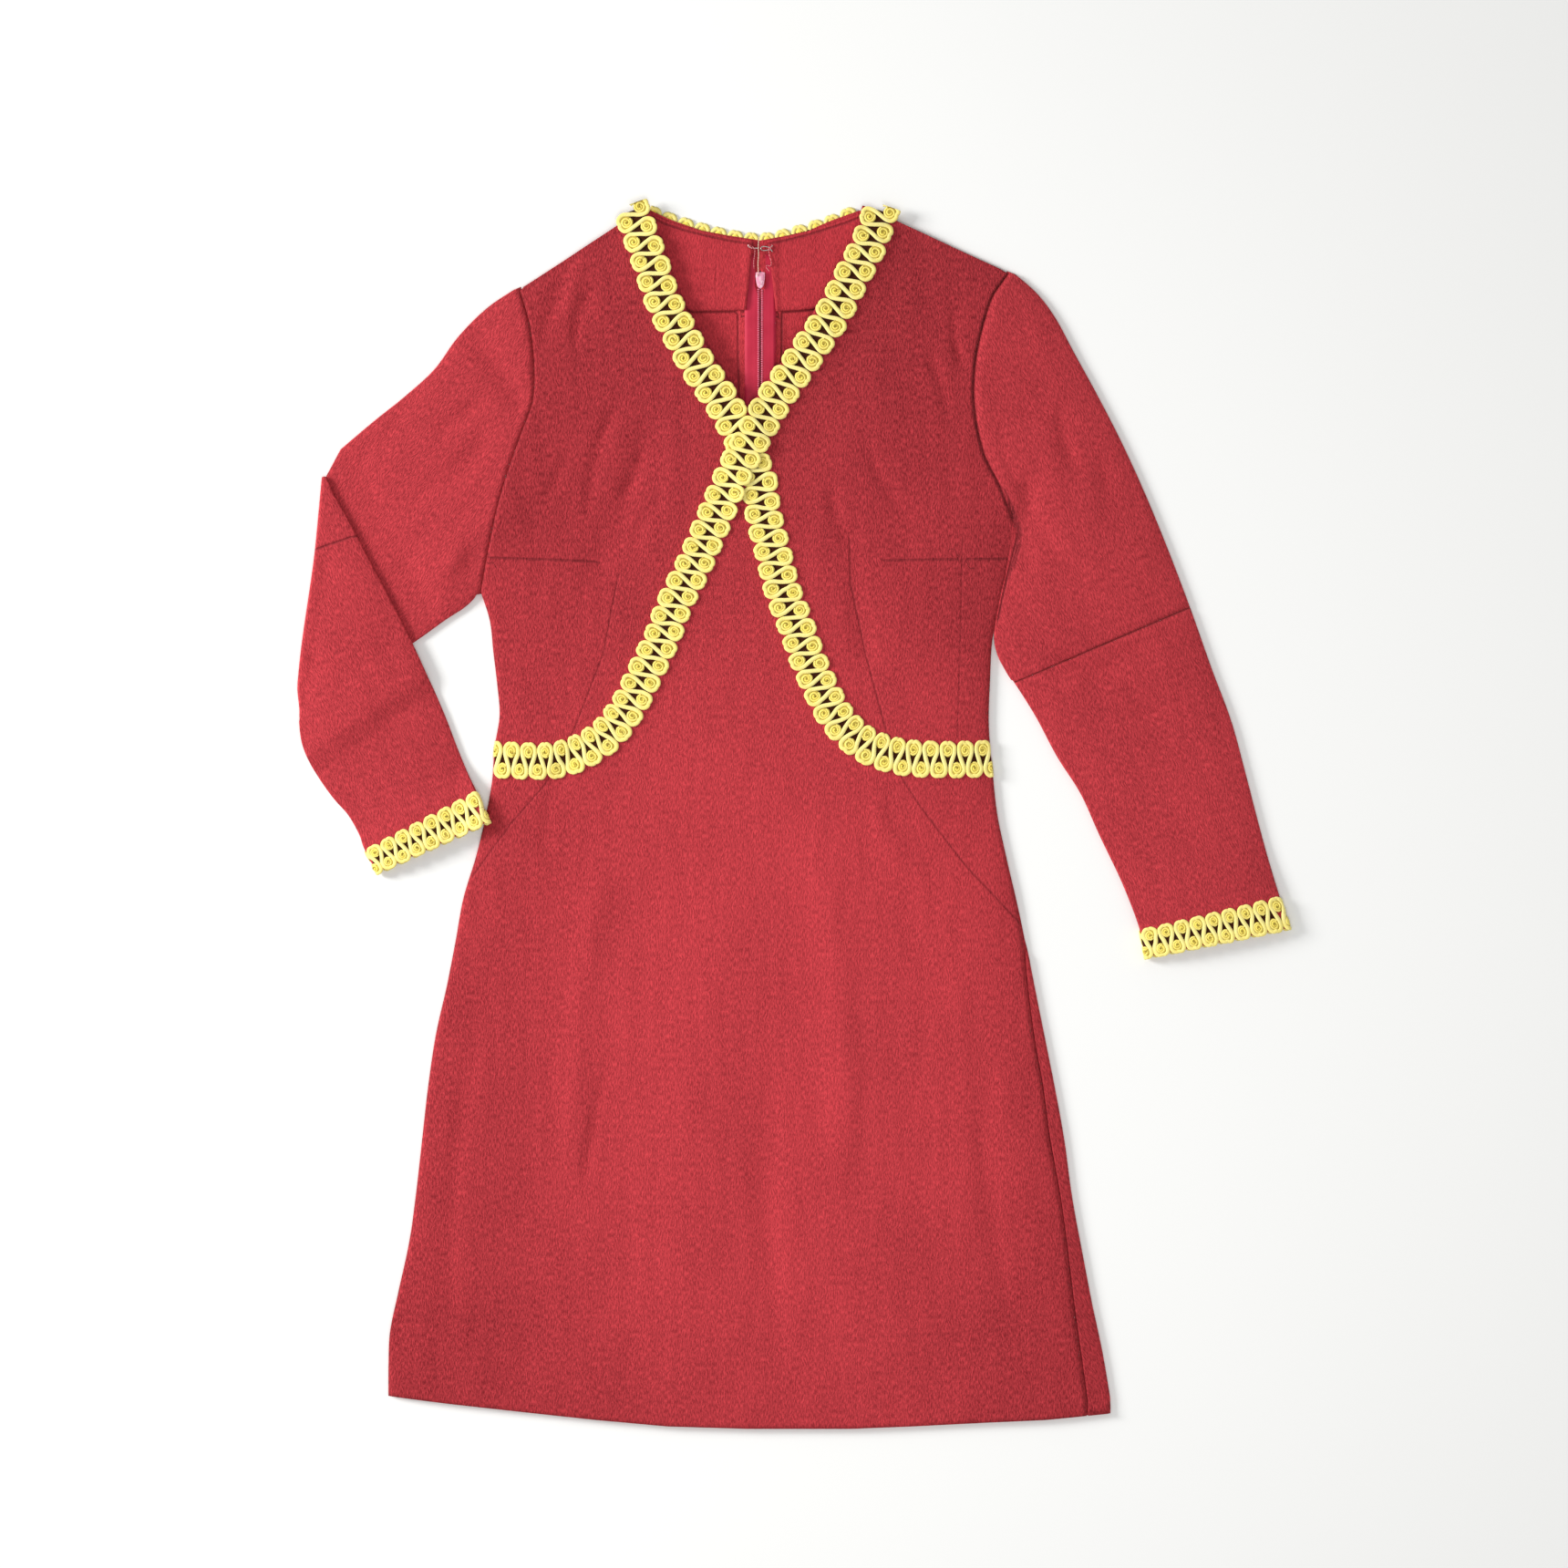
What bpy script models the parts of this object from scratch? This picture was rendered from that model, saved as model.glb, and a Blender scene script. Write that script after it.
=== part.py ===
"""Long-sleeved A-line dress with a V neck and scroll braid, laid flat on its back.

Lengths in the tables are millimetres, everything that reaches Blender is metres.
+X is the viewer's right, +Y runs from hem to neck and +Z points up from the
surface that the dress lies on. One sleeve lies out straight, and the other is
folded at the elbow with its forearm on top of its upper half.
"""
import math

import bmesh
import bpy
from mathutils import Vector
from mathutils.bvhtree import BVHTree

MM = 0.001

# Cloth: a crinkled double knit, with the air that is left between its layers.
CLOTH = 1.3
SEAM_GAP = 0.4
BACK_MID = CLOTH / 2
EDGE_TOP = BACK_MID + CLOTH + SEAM_GAP
LOFT_BODICE = 4.5
LOFT_SKIRT = 3.4
LOFT_HEM = 1.8
LOFT_REACH = 16.0
LAYER_AIR = 0.3
HEM_FLAT_FROM_Y = -380.0
HEM_FLAT_REACH = 110.0
WAIST_TO_BUST = 120.0
COLUMNS = 9

# The front stands off the back round the neck: full beside the opening, then less.
NECK_RISE = 5.9
NECK_RISE_AT_SHOULDER = 0.56
NECK_RISE_WIDTH = 14.0
NECK_RISE_REACH = 34.0
SHOULDER_REACH = 26.0

# The flat back is lifted a little over the neck braid and over the zip's pull.
BRAID_LIFT = 1.6
BRAID_LIFT_WIDTH = 48.0
BRAID_LIFT_RAMP = 34.0
ZIP_LIFT = 1.55
ZIP_LIFT_WIDTH = 11.0
ZIP_LIFT_RAMP = 14.0
ZIP_LIFT_FROM_Y = 330.0
ZIP_LIFT_RUN = 40.0

# Scroll braid: pitch of one S, half its width, and its thicknesses.
BRAID_PITCH = 14.1
BRAID_HALF = 15.2
BRAID_BASE = 1.0
BRAID_GAP = 0.35
BRAID_STEEPEST = 0.35
BRAID_SEAT_REACH = 4.0
BRAID_SEAT_SPREAD = 6.0
NECK_BRAID_THICKNESS = 1.15
NECK_BRAID_NOTCH = 1.6
CUFF_SIDE = 1.1
CUFF_UNDER = 1.25
CUFF_UNDER_GAP = 0.3
CUFF_SIDE_RISE = 0.7
CUFF_UNDER_SHARES = (1.0, 0.8, 0.6, 0.4, 0.28, 0.18, 0.09, 0.0)
INSIDE_ROWS = (0, 3, 7)

# Centre back line, the zip in it and the slider's place on it.
ZIP_X = -26.6
ZIP_TOP_Y = 448.0
ZIP_END_Y = -20.0
TAPE_THICKNESS = 0.6
TAPE_GAP = 0.35
TAPE_INNER = 2.4
TAPE_INNER_AT_SLIDER = 4.3
TAPE_MIDDLE = 7.5
TAPE_OUTER = 12.5
TAPE_ROWS = 13
COIL_ROWS = 14
COIL_GAP = 0.3
COIL_SEAT_IN_SLIDER = 3.1
COIL_TOP_ABOVE_SLIDER = 2.6
COIL_PROFILE = ((-2.0, 0.0), (2.0, 0.0), (2.0, 0.9), (1.2, 1.4), (0.0, 0.9), (-1.2, 1.4), (-2.0, 0.9))
SLIDER_Y = 427.0
SLIDER_HALF_LENGTH = 6.2
SLIDER_HALF_WIDTHS = (2.5, 3.65)
SLIDER_OUTER_PLATE = (1.45, 2.3)
SLIDER_INNER_PLATE = (4.85, 5.75)
SLIDER_POST = 3.0
EAR_NEAR = 1.65
EAR_FAR = 2.45
EAR_HALF = 0.8
EAR_LEVELS = (0.2, 1.7)
HINGE_Y = 430.0
HINGE_Z = 0.7
PULL_THICKNESS = 0.9
PULL_HALF = ((-1.3, 0.45), (-1.3, -1.6), (-2.3, -3.0), (-2.3, -14.0), (-1.6, -15.6), (0.0, -16.3))

# The neck facings inside the back, and the hook and eye on them.
FACING_THICKNESS = 1.1
FACING_ROWS = 4
FACINGS = (
    ("facing_left",
     ((-115, 481), (-102, 475), (-86, 470), (-70, 466), (-52, 462), (-32, 459)),
     ((-124, 474), (-114, 440), (-98, 412), (-82, 403), (-60, 403), (-38, 403))),
    ("facing_right",
     ((54, 481), (42, 476), (26, 471), (10, 466), (-6, 462), (-21, 459)),
     ((62, 474), (53, 440), (36, 412), (20, 403), (3, 403), (-14, 403))),
)
WIRE_RADIUS = 0.4
HOOK_Y = 452.0
HOOK_OVER_FACING = 0.75
HOOK_WIRE = ((-9.6, 3.2), (-8.2, 1.2), (-6.4, 0.6), (-3.0, 0.5), (-1.2, 0.5))
EYE_WIRE = (
    (9.6, 3.0), (8.2, 1.2), (6.0, 1.4), (2.4, 2.2), (0.4, 1.0), (0.4, -0.6), (2.4, -1.6),
    (6.0, -0.9), (8.2, -0.6), (9.6, -2.4),
)

# Middle of the finished dress in the tables' millimetres: it goes to the origin.
MIDDLE = (0.98, -2.09)

# Rays that look for a surface start clear of everything.
ABOVE_ALL = 60.0
BELOW_ALL = -20.0

# Rows of the dress from the shoulder to the waist: the armhole or side on the
# left, the neck edge or centre front twice, the armhole or side on the right.
BODICE_ROWS = (
    # left side, left inner, right inner, right side
    ((-219, 420), (-116, 487), (55, 487), (171, 430)),
    ((-211, 393), (-108, 464), (49, 464), (159, 416)),
    ((-207, 360), (-100, 441), (37, 441), (151, 393)),
    ((-208, 331), (-90, 413), (22, 413), (145, 366)),
    ((-218, 303), (-77, 387), (8, 387), (143, 338)),
    ((-227, 278), (-62, 362), (-9, 362), (146, 309)),
    ((-235, 251), (-49, 341), (-24, 341), (153, 284)),
    ((-241, 225), (-37, 322), (-37, 322), (163, 265)),
    ((-246, 200), (-37, 287), (-37, 287), (171, 246)),
    ((-250, 178), (-37, 243), (-37, 243), (179, 225)),
    ((-243, 156), (-37, 200), (-37, 200), (172, 200)),
    ((-240, 130), (-37, 156), (-37, 156), (165, 170)),
    ((-237, 105), (-37, 119), (-37, 119), (159, 141)),
    ((-235, 79), (-37, 83), (-37, 83), (157, 108)),
    ((-239, 54), (-37, 54), (-37, 54), (156, 72)),
    ((-241, 27), (-37, 27), (-37, 27), (159, 35)),
    ((-246, -1), (-37, -1), (-37, -1), (163, -1)),
    ((-254, -34), (-37, -34), (-37, -34), (170, -34)),
    ((-264, -67), (-37, -67), (-37, -67), (178, -67)),
)
V_ROW = 7
UNDERARM_ROW = 9

# Rows of the skirt. The right side seam leaves the outline and rolls onto the
# front, so the back reaches round the edge to meet it.
SKIRT_ROWS = (
    # left y, centre y, right y, left x, right x, seam x
    (-100, -100, -100, -270, 185, 184),
    (-136, -137, -136, -277, 192, 187),
    (-176, -178, -176, -286, 200, 192),
    (-216, -220, -216, -292, 208, 199),
    (-260, -266, -260, -297, 216, 205),
    (-304, -312, -304, -302, 222, 213),
    (-348, -359, -349, -308, 230, 219),
    (-391, -408, -394, -316, 238, 224),
    (-432, -455, -440, -323, 247, 230),
    (-465, -491, -479, -324, 253, 235),
)
FIRST_ROLLED_ROW = 1
SIDE_SEAM_HALF_GAP = 0.5
HEM_BOW = 4.0
HEM_BOW_FROM_Y = -300.0
HEM_BOW_RUN = 165.0

# Inner ends of the rows of the two backs: down the neckline, then the centre.
BACK_INNER = (
    # left, right, half of the gap at the centre back
    ((-116, 484), (55, 484), 0.0),
    ((-88, 472), (27, 474), 0.0),
    ((-58, 464), (0, 464), 0.0),
    ((ZIP_X, 460), (ZIP_X, 460), 1.2),
    ((ZIP_X, 430), (ZIP_X, 430), 4.4),
    ((ZIP_X, 398), (ZIP_X, 398), 1.0),
    ((ZIP_X, 362), (ZIP_X, 362), 0.3),
    ((ZIP_X, 322), (ZIP_X, 322), 0.3),
    ((ZIP_X, 287), (ZIP_X, 287), 0.3),
    ((ZIP_X, 243), (ZIP_X, 243), 0.3),
)
CENTRE_BACK_GAP = 0.3
ZIP_STEPS = (10.0, 26.0)

# The straight sleeve: its rows run from the armhole to the wrist.
STRAIGHT_SLEEVE = (
    # outer edge, underarm edge, share of the armhole's curve
    ((173, 431), (182, 226), 1.0),
    ((196, 414), (183, 213), 0.35),
    ((208, 394), (178.5, 196), 0.2),
    ((224, 368), (170.5, 171), 0.1),
    ((242, 335), (165, 146), 0.05),
    ((260, 300), (165.5, 130), 0.0),
    ((278, 261), (170, 117), 0.0),
    ((297, 215), (175, 109), 0.0),
    ((316, 165), (178, 106), 0.0),
    ((333, 117), (195, 79), 0.0),
    ((349, 74), (212, 47), 0.0),
    ((361, 30), (231, 17), 0.0),
    ((369, -1), (246, -16), 0.0),
    ((379, -38), (264, -54), 0.0),
    ((387, -65), (278, -91), 0.0),
    ((396, -93), (283, -116), 0.0),
)
ELBOW_ROW = 8
ELBOW_HALF_GAP = 0.2
ARMHOLE_STEP = 0.7

# The folded sleeve down to its fold, then its forearm on top.
FOLDED_UPPER = (
    # outer edge, underarm edge, share of the armhole's curve
    ((-220, 421), (-253.5, 178), 1.0),
    ((-245, 404), (-257, 173), 0.7),
    ((-268, 381), (-265, 166), 0.45),
    ((-287, 355), (-279, 157), 0.22),
    ((-311, 333), (-297, 144), 0.08),
    ((-336, 313), (-322, 127), 0.0),
    ((-362, 291), (-354, 105), 0.0),
)
FOLD_LINE = ((-378, 270), (-397, 78))
FOREARM = (
    # inner edge, outer edge
    ((-368, 255), (-390.5, 76)),
    ((-356, 234), (-388.5, 67)),
    ((-340, 203), (-388.5, 58)),
    ((-322, 169), (-387, 51)),
    ((-306, 137), (-380, 41)),
    ((-292, 106), (-372, 27)),
    ((-280, 78), (-364, 14)),
    ((-270, 52), (-355, 0)),
    ((-262, 33), (-346, -16)),
    ((-255, 19), (-342, -27)),
    ((-243, -8), (-331, -48)),
)
FOLD_INSET = 3.4
INNER_FOLD_RADIUS = 1.0
FOREARM_CLEARANCE = 0.7
SIDE_ROUNDING = 0.8
SETTLE_SLOPE = 0.25
PRESSED_REACH = 26.0
FOREARM_REGION_X = -230.0
PRESSED_ROWS = 6
LOFT_FOREARM = 3.4
LOFT_FOREARM_ROWS = 3.0
SLEEVE_EDGE_MARGIN = 30.0
ON_BODY_EXTRA = 1.9
BODY_EDGE_X = -250.0
BODY_MET_BELOW_Y = 60.0
BODY_SETTLE = 1.3
FOLD_STEPS = 4
FOLD_SEAM = 0.9

# The largest folds: ends, half width and height, a trough where it is negative.
FOLDS = (
    # x0, y0, x1, y1, half width, height
    (-256, 382, -219, 331, 9, -2.0),
    (-178, 443, -195, 386, 8, -1.2),
    (-117, 302, -154, 200, 13, -1.4),
    (45, 222, 58, 127, 10, -1.2),
    (188, 262, 186, 203, 9, -2.2),
    (204, 116, 255, 108, 6, -1.4),
    (-227, 243, -300, 190, 12, 1.4),
    (-250, 290, -320, 240, 10, -1.2),
    (-190, -20, -225, -430, 28, -1.0),
    (-60, -60, -95, -440, 34, 1.2),
    (92, -60, 118, -440, 30, -1.0),
)

# Routes of the two strips of braid, each from a shoulder across to a side.
LEFT_SHOULDER_ROUTE = (
    (-128, 478), (-115, 443), (-104, 410), (-89, 381), (-75, 356), (-58, 331),
    (-44, 306), (-36, 286), (-28, 268), (-24, 240), (-16, 208), (-9, 180),
    (2, 151), (12, 123), (24, 96), (38, 73), (59, 55), (87, 46), (122, 44),
    (157, 45),
)
RIGHT_SHOULDER_ROUTE = (
    (68, 478), (60, 455), (45, 426), (32, 400), (16, 376), (0, 353), (-16, 330),
    (-30, 305), (-44, 280), (-55, 256), (-68, 225), (-81, 196), (-95, 168),
    (-105, 141), (-118, 114), (-131, 88), (-148, 65), (-170, 50), (-196, 43),
    (-238, 44),
)
BACK_NECK_ROUTE = (
    (-119, 471), (-91, 461), (-62, 453), (-28, 448), (0, 453), (30, 462), (57, 473),
)

COLOURS = {
    "crepe": (0.477, 0.034, 0.044, 1.0),
    "crepe_inside": (0.36, 0.024, 0.034, 1.0),
    "braid": (0.89, 0.72, 0.13, 1.0),
    "zip_tape": (0.44, 0.012, 0.062, 1.0),
    "enamel": (0.80, 0.36, 0.50, 1.0),
    "steel": (0.45, 0.42, 0.40, 1.0),
}
FINISH = {
    # roughness, metallic
    "crepe": (0.85, 0.0),
    "crepe_inside": (0.85, 0.0),
    "braid": (0.6, 0.0),
    "zip_tape": (0.75, 0.0),
    "enamel": (0.3, 0.0),
    "steel": (0.35, 1.0),
}


def clear_scene():
    for thing in list(bpy.data.objects):
        bpy.data.objects.remove(thing, do_unlink=True)


def material(name):
    """The named material, made the first time that it is asked for."""
    if name in bpy.data.materials:
        return bpy.data.materials[name]
    made = bpy.data.materials.new(name)
    made.use_nodes = True
    shader = made.node_tree.nodes["Principled BSDF"]
    roughness, metallic = FINISH[name]
    shader.inputs["Base Color"].default_value = COLOURS[name]
    shader.inputs["Roughness"].default_value = roughness
    shader.inputs["Metallic"].default_value = metallic
    return made


def new_object(name, points, faces, finish):
    """An object from points in millimetres."""
    mesh = bpy.data.meshes.new(name)
    mesh.from_pydata([Vector(p) * MM for p in points], [], faces)
    mesh.update()
    mesh.materials.append(material(finish))
    made = bpy.data.objects.new(name, mesh)
    bpy.context.scene.collection.objects.link(made)
    return made


def face_outwards(thing):
    """Turns the faces of a closed mesh so that they point out."""
    shape = bmesh.new()
    shape.from_mesh(thing.data)
    bmesh.ops.recalc_face_normals(shape, faces=shape.faces)
    shape.to_mesh(thing.data)
    shape.free()


def cloth_wall(name, points, faces, thickness=CLOTH, finish="crepe", even=True):
    """A sheet of cloth: its middle surface thickened to both sides."""
    sheet = new_object(name, points, faces, finish)
    face_outwards(sheet)
    wall = sheet.modifiers.new("cloth", "SOLIDIFY")
    wall.thickness = thickness * MM
    wall.offset = 0.0
    wall.use_even_offset = even
    wall.thickness_clamp = 0.0
    sheet.data.set_sharp_from_angle(angle=math.radians(40))
    return sheet


def mix(a, b, share):
    return a + (b - a) * share


def mix_points(a, b, share):
    return (mix(a[0], b[0], share), mix(a[1], b[1], share))


def smooth(share):
    share = min(1.0, max(0.0, share))
    return share * share * (3.0 - 2.0 * share)


def distance_to_line(point, start, end):
    """Distance from a point to the stretch between two points, in the plane."""
    along = Vector(end) - Vector(start)
    reach = (Vector(point) - Vector(start)).dot(along) / along.length_squared
    foot = Vector(start) + along * min(1.0, max(0.0, reach))
    return (Vector(point) - foot).length


def distance_to_path(point, path):
    return min(distance_to_line(point, a, b) for a, b in zip(path, path[1:]))


LEFT_SIDE = [row[0] for row in BODICE_ROWS[UNDERARM_ROW:]] + [(r[3], r[0]) for r in SKIRT_ROWS]
RIGHT_SIDE = [row[3] for row in BODICE_ROWS[UNDERARM_ROW:]] + [(r[4], r[2]) for r in SKIRT_ROWS]
LEFT_SHOULDER = [BODICE_ROWS[0][0], BODICE_ROWS[0][1]]
RIGHT_SHOULDER = [BODICE_ROWS[0][3], BODICE_ROWS[0][2]]
NECK_EDGES = [row[1] for row in BODICE_ROWS[:V_ROW + 1]] + [row[2] for row in BODICE_ROWS[V_ROW - 1::-1]]
BACK_NECKLINE = [row[0] for row in BACK_INNER[:4]] + [row[1] for row in BACK_INNER[2::-1]]
FOREARM_EDGE = [FOLD_LINE[0]] + [row[0] for row in FOREARM]
UPPER_UNDER_EDGE = [row[1] for row in FOLDED_UPPER] + [FOLD_LINE[1]]
OUTLINES = (
    LEFT_SIDE,
    RIGHT_SIDE,
    LEFT_SHOULDER,
    RIGHT_SHOULDER,
    [row[0] for row in STRAIGHT_SLEEVE],
    [row[1] for row in STRAIGHT_SLEEVE],
    [row[0] for row in FOLDED_UPPER] + [FOLD_LINE[0]],
    UPPER_UNDER_EDGE,
)


def fold_height(x, y):
    """What the large folds add at a place."""
    total = 0.0
    for x0, y0, x1, y1, half_width, height in FOLDS:
        away = distance_to_line((x, y), (x0, y0), (x1, y1)) / half_width
        total += height * math.exp(-away * away)
    return total


def neck_rise(x, y):
    """How far the front stands off the back beside the neck opening."""
    away = max(0.0, distance_to_path((x, y), NECK_EDGES) - NECK_RISE_WIDTH)
    shoulder = min(distance_to_path((x, y), LEFT_SHOULDER), distance_to_path((x, y), RIGHT_SHOULDER))
    held = mix(NECK_RISE_AT_SHOULDER, 1.0, smooth(shoulder / SHOULDER_REACH))
    return NECK_RISE * held * math.exp(-(away / NECK_RISE_REACH) ** 2)


def top_mid(x, y):
    """Middle of the upper layer of the dress above a place."""
    if y < 0:
        full = mix(LOFT_SKIRT, LOFT_HEM, smooth((HEM_FLAT_FROM_Y - y) / HEM_FLAT_REACH))
    else:
        full = mix(LOFT_SKIRT, LOFT_BODICE, smooth(y / WAIST_TO_BUST))
    away = min(distance_to_path((x, y), path) for path in OUTLINES)
    if x < FOREARM_REGION_X:
        away = min(away, max(0.0, distance_to_path((x, y), FOREARM_EDGE[:PRESSED_ROWS]) - PRESSED_REACH))
    inside = 1.0 - math.exp(-away / LOFT_REACH)
    loft = full * inside + fold_height(x, y) * inside
    rise = neck_rise(x, y)
    lofted = EDGE_TOP + (max(loft, 0.0) ** 3 + rise ** 3) ** (1 / 3)
    return max(lofted, back_mid(x, y) + EDGE_TOP - BACK_MID + LAYER_AIR)


def back_mid(x, y):
    """Middle of the lower layer: flat, but over the neck braid and the zip's pull."""
    to_neck = distance_to_path((x, y), BACK_NECKLINE)
    over_braid = BRAID_LIFT * (1.0 - smooth((to_neck - BRAID_LIFT_WIDTH) / BRAID_LIFT_RAMP))
    over_pull = ZIP_LIFT * (1.0 - smooth((abs(x - ZIP_X) - ZIP_LIFT_WIDTH) / ZIP_LIFT_RAMP))
    over_pull *= smooth((y - ZIP_LIFT_FROM_Y) / ZIP_LIFT_RUN)
    return BACK_MID + max(over_braid, over_pull)


def hem_bow(y):
    """How far the middle of a half row dips below its ends."""
    return HEM_BOW * smooth((HEM_BOW_FROM_Y - y) / HEM_BOW_RUN)


def body_rows():
    """Rows of the front: left side, left inner, right inner, right side, bow."""
    rows = [(*row, 0.0) for row in BODICE_ROWS]
    for left_y, centre_y, right_y, left_x, _, seam_x in SKIRT_ROWS:
        centre = (BODICE_ROWS[-1][1][0], centre_y)
        right = (seam_x - SIDE_SEAM_HALF_GAP, right_y)
        rows.append(((left_x, left_y), centre, centre, right, hem_bow(left_y)))
    return rows


def row_points(outer, inner, bow, shares):
    """Points of one row from its outer to its inner end."""
    points = []
    for share in shares:
        x, y = mix_points(outer, inner, share)
        points.append((x, y - 4.0 * bow * share * (1.0 - share)))
    return points


def make_front():
    """The front in one piece, slit by the V of the neck."""
    shares = [i / COLUMNS for i in range(COLUMNS + 1)]
    points = []
    faces = []
    index = {}
    rows = body_rows()
    for r, (left, left_inner, right_inner, right, bow) in enumerate(rows):
        for half, outer, inner in ((0, left, left_inner), (1, right, right_inner)):
            for c, (x, y) in enumerate(row_points(outer, inner, bow, shares)):
                if half == 1 and c == COLUMNS and r >= V_ROW:
                    index[r, half, c] = index[r, 0, c]
                    continue
                index[r, half, c] = len(points)
                points.append((x, y, top_mid(x, y)))
    for r in range(len(rows) - 1):
        for half in (0, 1):
            for c in range(COLUMNS):
                quad = [index[r, half, c], index[r + 1, half, c],
                        index[r + 1, half, c + 1], index[r, half, c + 1]]
                faces.append(quad if half == 0 else quad[::-1])
    return cloth_wall("front", points, faces)


def back_row_ends():
    """Side end, inner end, bow, rolled edge and seam of each row of both backs."""
    lower = len(BODICE_ROWS) - len(BACK_INNER)
    inner = list(BACK_INNER)
    for row in BODICE_ROWS[-lower:]:
        inner.append(((ZIP_X, row[1][1]), (ZIP_X, row[1][1]), CENTRE_BACK_GAP))
    rows = []
    for (left, _, _, right), (left_in, right_in, gap) in zip(BODICE_ROWS, inner):
        rows.append((left, (left_in[0] - gap, left_in[1]), (right_in[0] + gap, right_in[1]), right, 0.0, None))
    for left_y, centre_y, right_y, left_x, right_x, seam_x in SKIRT_ROWS:
        gap = CENTRE_BACK_GAP
        rows.append(((left_x, left_y), (ZIP_X - gap, centre_y), (ZIP_X + gap, centre_y),
                     (right_x, right_y), hem_bow(left_y), seam_x))
    return rows


def back_shares(outer, inner):
    """Shares from the side to the centre back, close together beside the zip."""
    width = abs(outer[0] - inner[0])
    near = [1.0 - step / width for step in ZIP_STEPS[::-1]]
    far = [near[0] * i / (COLUMNS - 2) for i in range(COLUMNS - 2)]
    return far + near + [1.0]


def make_back(name, half):
    """One back. The right one rolls round its edge to the seam on the front."""
    points = []
    faces = []
    index = {}
    rows = back_row_ends()
    first = len(BODICE_ROWS) + FIRST_ROLLED_ROW
    for r, (left, left_inner, right_inner, right, bow, seam_x) in enumerate(rows):
        outer, inner = (left, left_inner) if half == 0 else (right, right_inner)
        rolled = half == 1 and r >= first
        line = row_points(outer, inner, bow, back_shares(outer, inner))
        for c, (x, y) in enumerate(line):
            index[r, c] = len(points)
            if rolled and c == 0:
                x -= EDGE_TOP - BACK_MID
            points.append((x, y, back_mid(x, y)))
        if rolled:
            fold_x = right[0] - CLOTH / 2
            top_start = right[0] - EDGE_TOP + BACK_MID / 2
            seam = max(seam_x + SIDE_SEAM_HALF_GAP, mix(seam_x, right[0], 0.05))
            turned = ((fold_x, (EDGE_TOP + BACK_MID) / 2),
                      (top_start, top_mid(top_start, right[1])),
                      (mix(top_start, seam, 0.5), top_mid(mix(top_start, seam, 0.5), right[1])),
                      (seam, top_mid(seam, right[1])))
            for k, (x, z) in enumerate(turned):
                index[r, -1 - k] = len(points)
                points.append((x, right[1], z))
    for r in range(len(rows) - 1):
        for c in range(COLUMNS):
            faces.append([index[r, c], index[r + 1, c], index[r + 1, c + 1], index[r, c + 1]])
    if half == 1:
        for c in range(0, -4, -1):
            faces.append([index[first - 1, 0], index[first, c], index[first, c - 1]])
            for r in range(first, len(rows) - 1):
                faces.append([index[r, c], index[r + 1, c], index[r + 1, c - 1], index[r, c - 1]])
    return cloth_wall(name, points, faces, even=False)


def armhole(half):
    """Places of the armhole's points along its chord, and their offsets from it."""
    line = [row[0 if half == 0 else 3] for row in BODICE_ROWS[:UNDERARM_ROW + 1]]
    start, end = Vector(line[0]), Vector(line[-1])
    chord = end - start
    shares = []
    offsets = []
    for place in line:
        share = (Vector(place) - start).dot(chord) / chord.length_squared
        shares.append(share)
        offsets.append(Vector(place) - start - chord * share)
    return shares, offsets


def across(outer, under, curve, shares, offsets):
    """Points across a flat sleeve from its outer to its underarm edge."""
    points = []
    for share, offset in zip(shares, offsets):
        x, y = mix_points(outer, under, share)
        points.append((x + offset.x * curve, y + offset.y * curve))
    return points


def sleeve_ring(line, low, high, turned=False):
    """A closed ring round a flat sleeve: one layer, a side, the other layer, a side.

    low and high give the two layers' heights at a place. Where the sleeve is
    turned over, the layer that was below comes out on top.
    """
    outer, under = Vector(line[0]), Vector(line[-1])
    reach = (under - outer).normalized() * SIDE_ROUNDING
    first, second = (high, low) if turned else (low, high)
    ring = [(x, y, first(x, y)) for x, y in line]
    end = under + reach
    ring.append((end.x, end.y, (low(*line[-1]) + high(*line[-1])) / 2))
    ring += [(x, y, second(x, y)) for x, y in reversed(line)]
    end = outer - reach
    ring.append((end.x, end.y, (low(*line[0]) + high(*line[0])) / 2))
    return ring


def tube(name, rings):
    """A sleeve's wall from its rings, open at both ends."""
    count = len(rings[0])
    points = [p for ring in rings for p in ring]
    faces = []
    for r in range(len(rings) - 1):
        for c in range(count):
            d = (c + 1) % count
            faces.append([r * count + c, r * count + d, (r + 1) * count + d, (r + 1) * count + c])
    return cloth_wall(name, points, faces, even=False)


def shifted(row, towards, amount):
    """A row of the sleeve table moved a little towards another."""
    moved = []
    for place, goal in zip(row[:2], towards[:2]):
        step = (Vector(goal) - Vector(place)).normalized() * amount
        moved.append((place[0] + step.x, place[1] + step.y))
    return (*moved, *row[2:])


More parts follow.
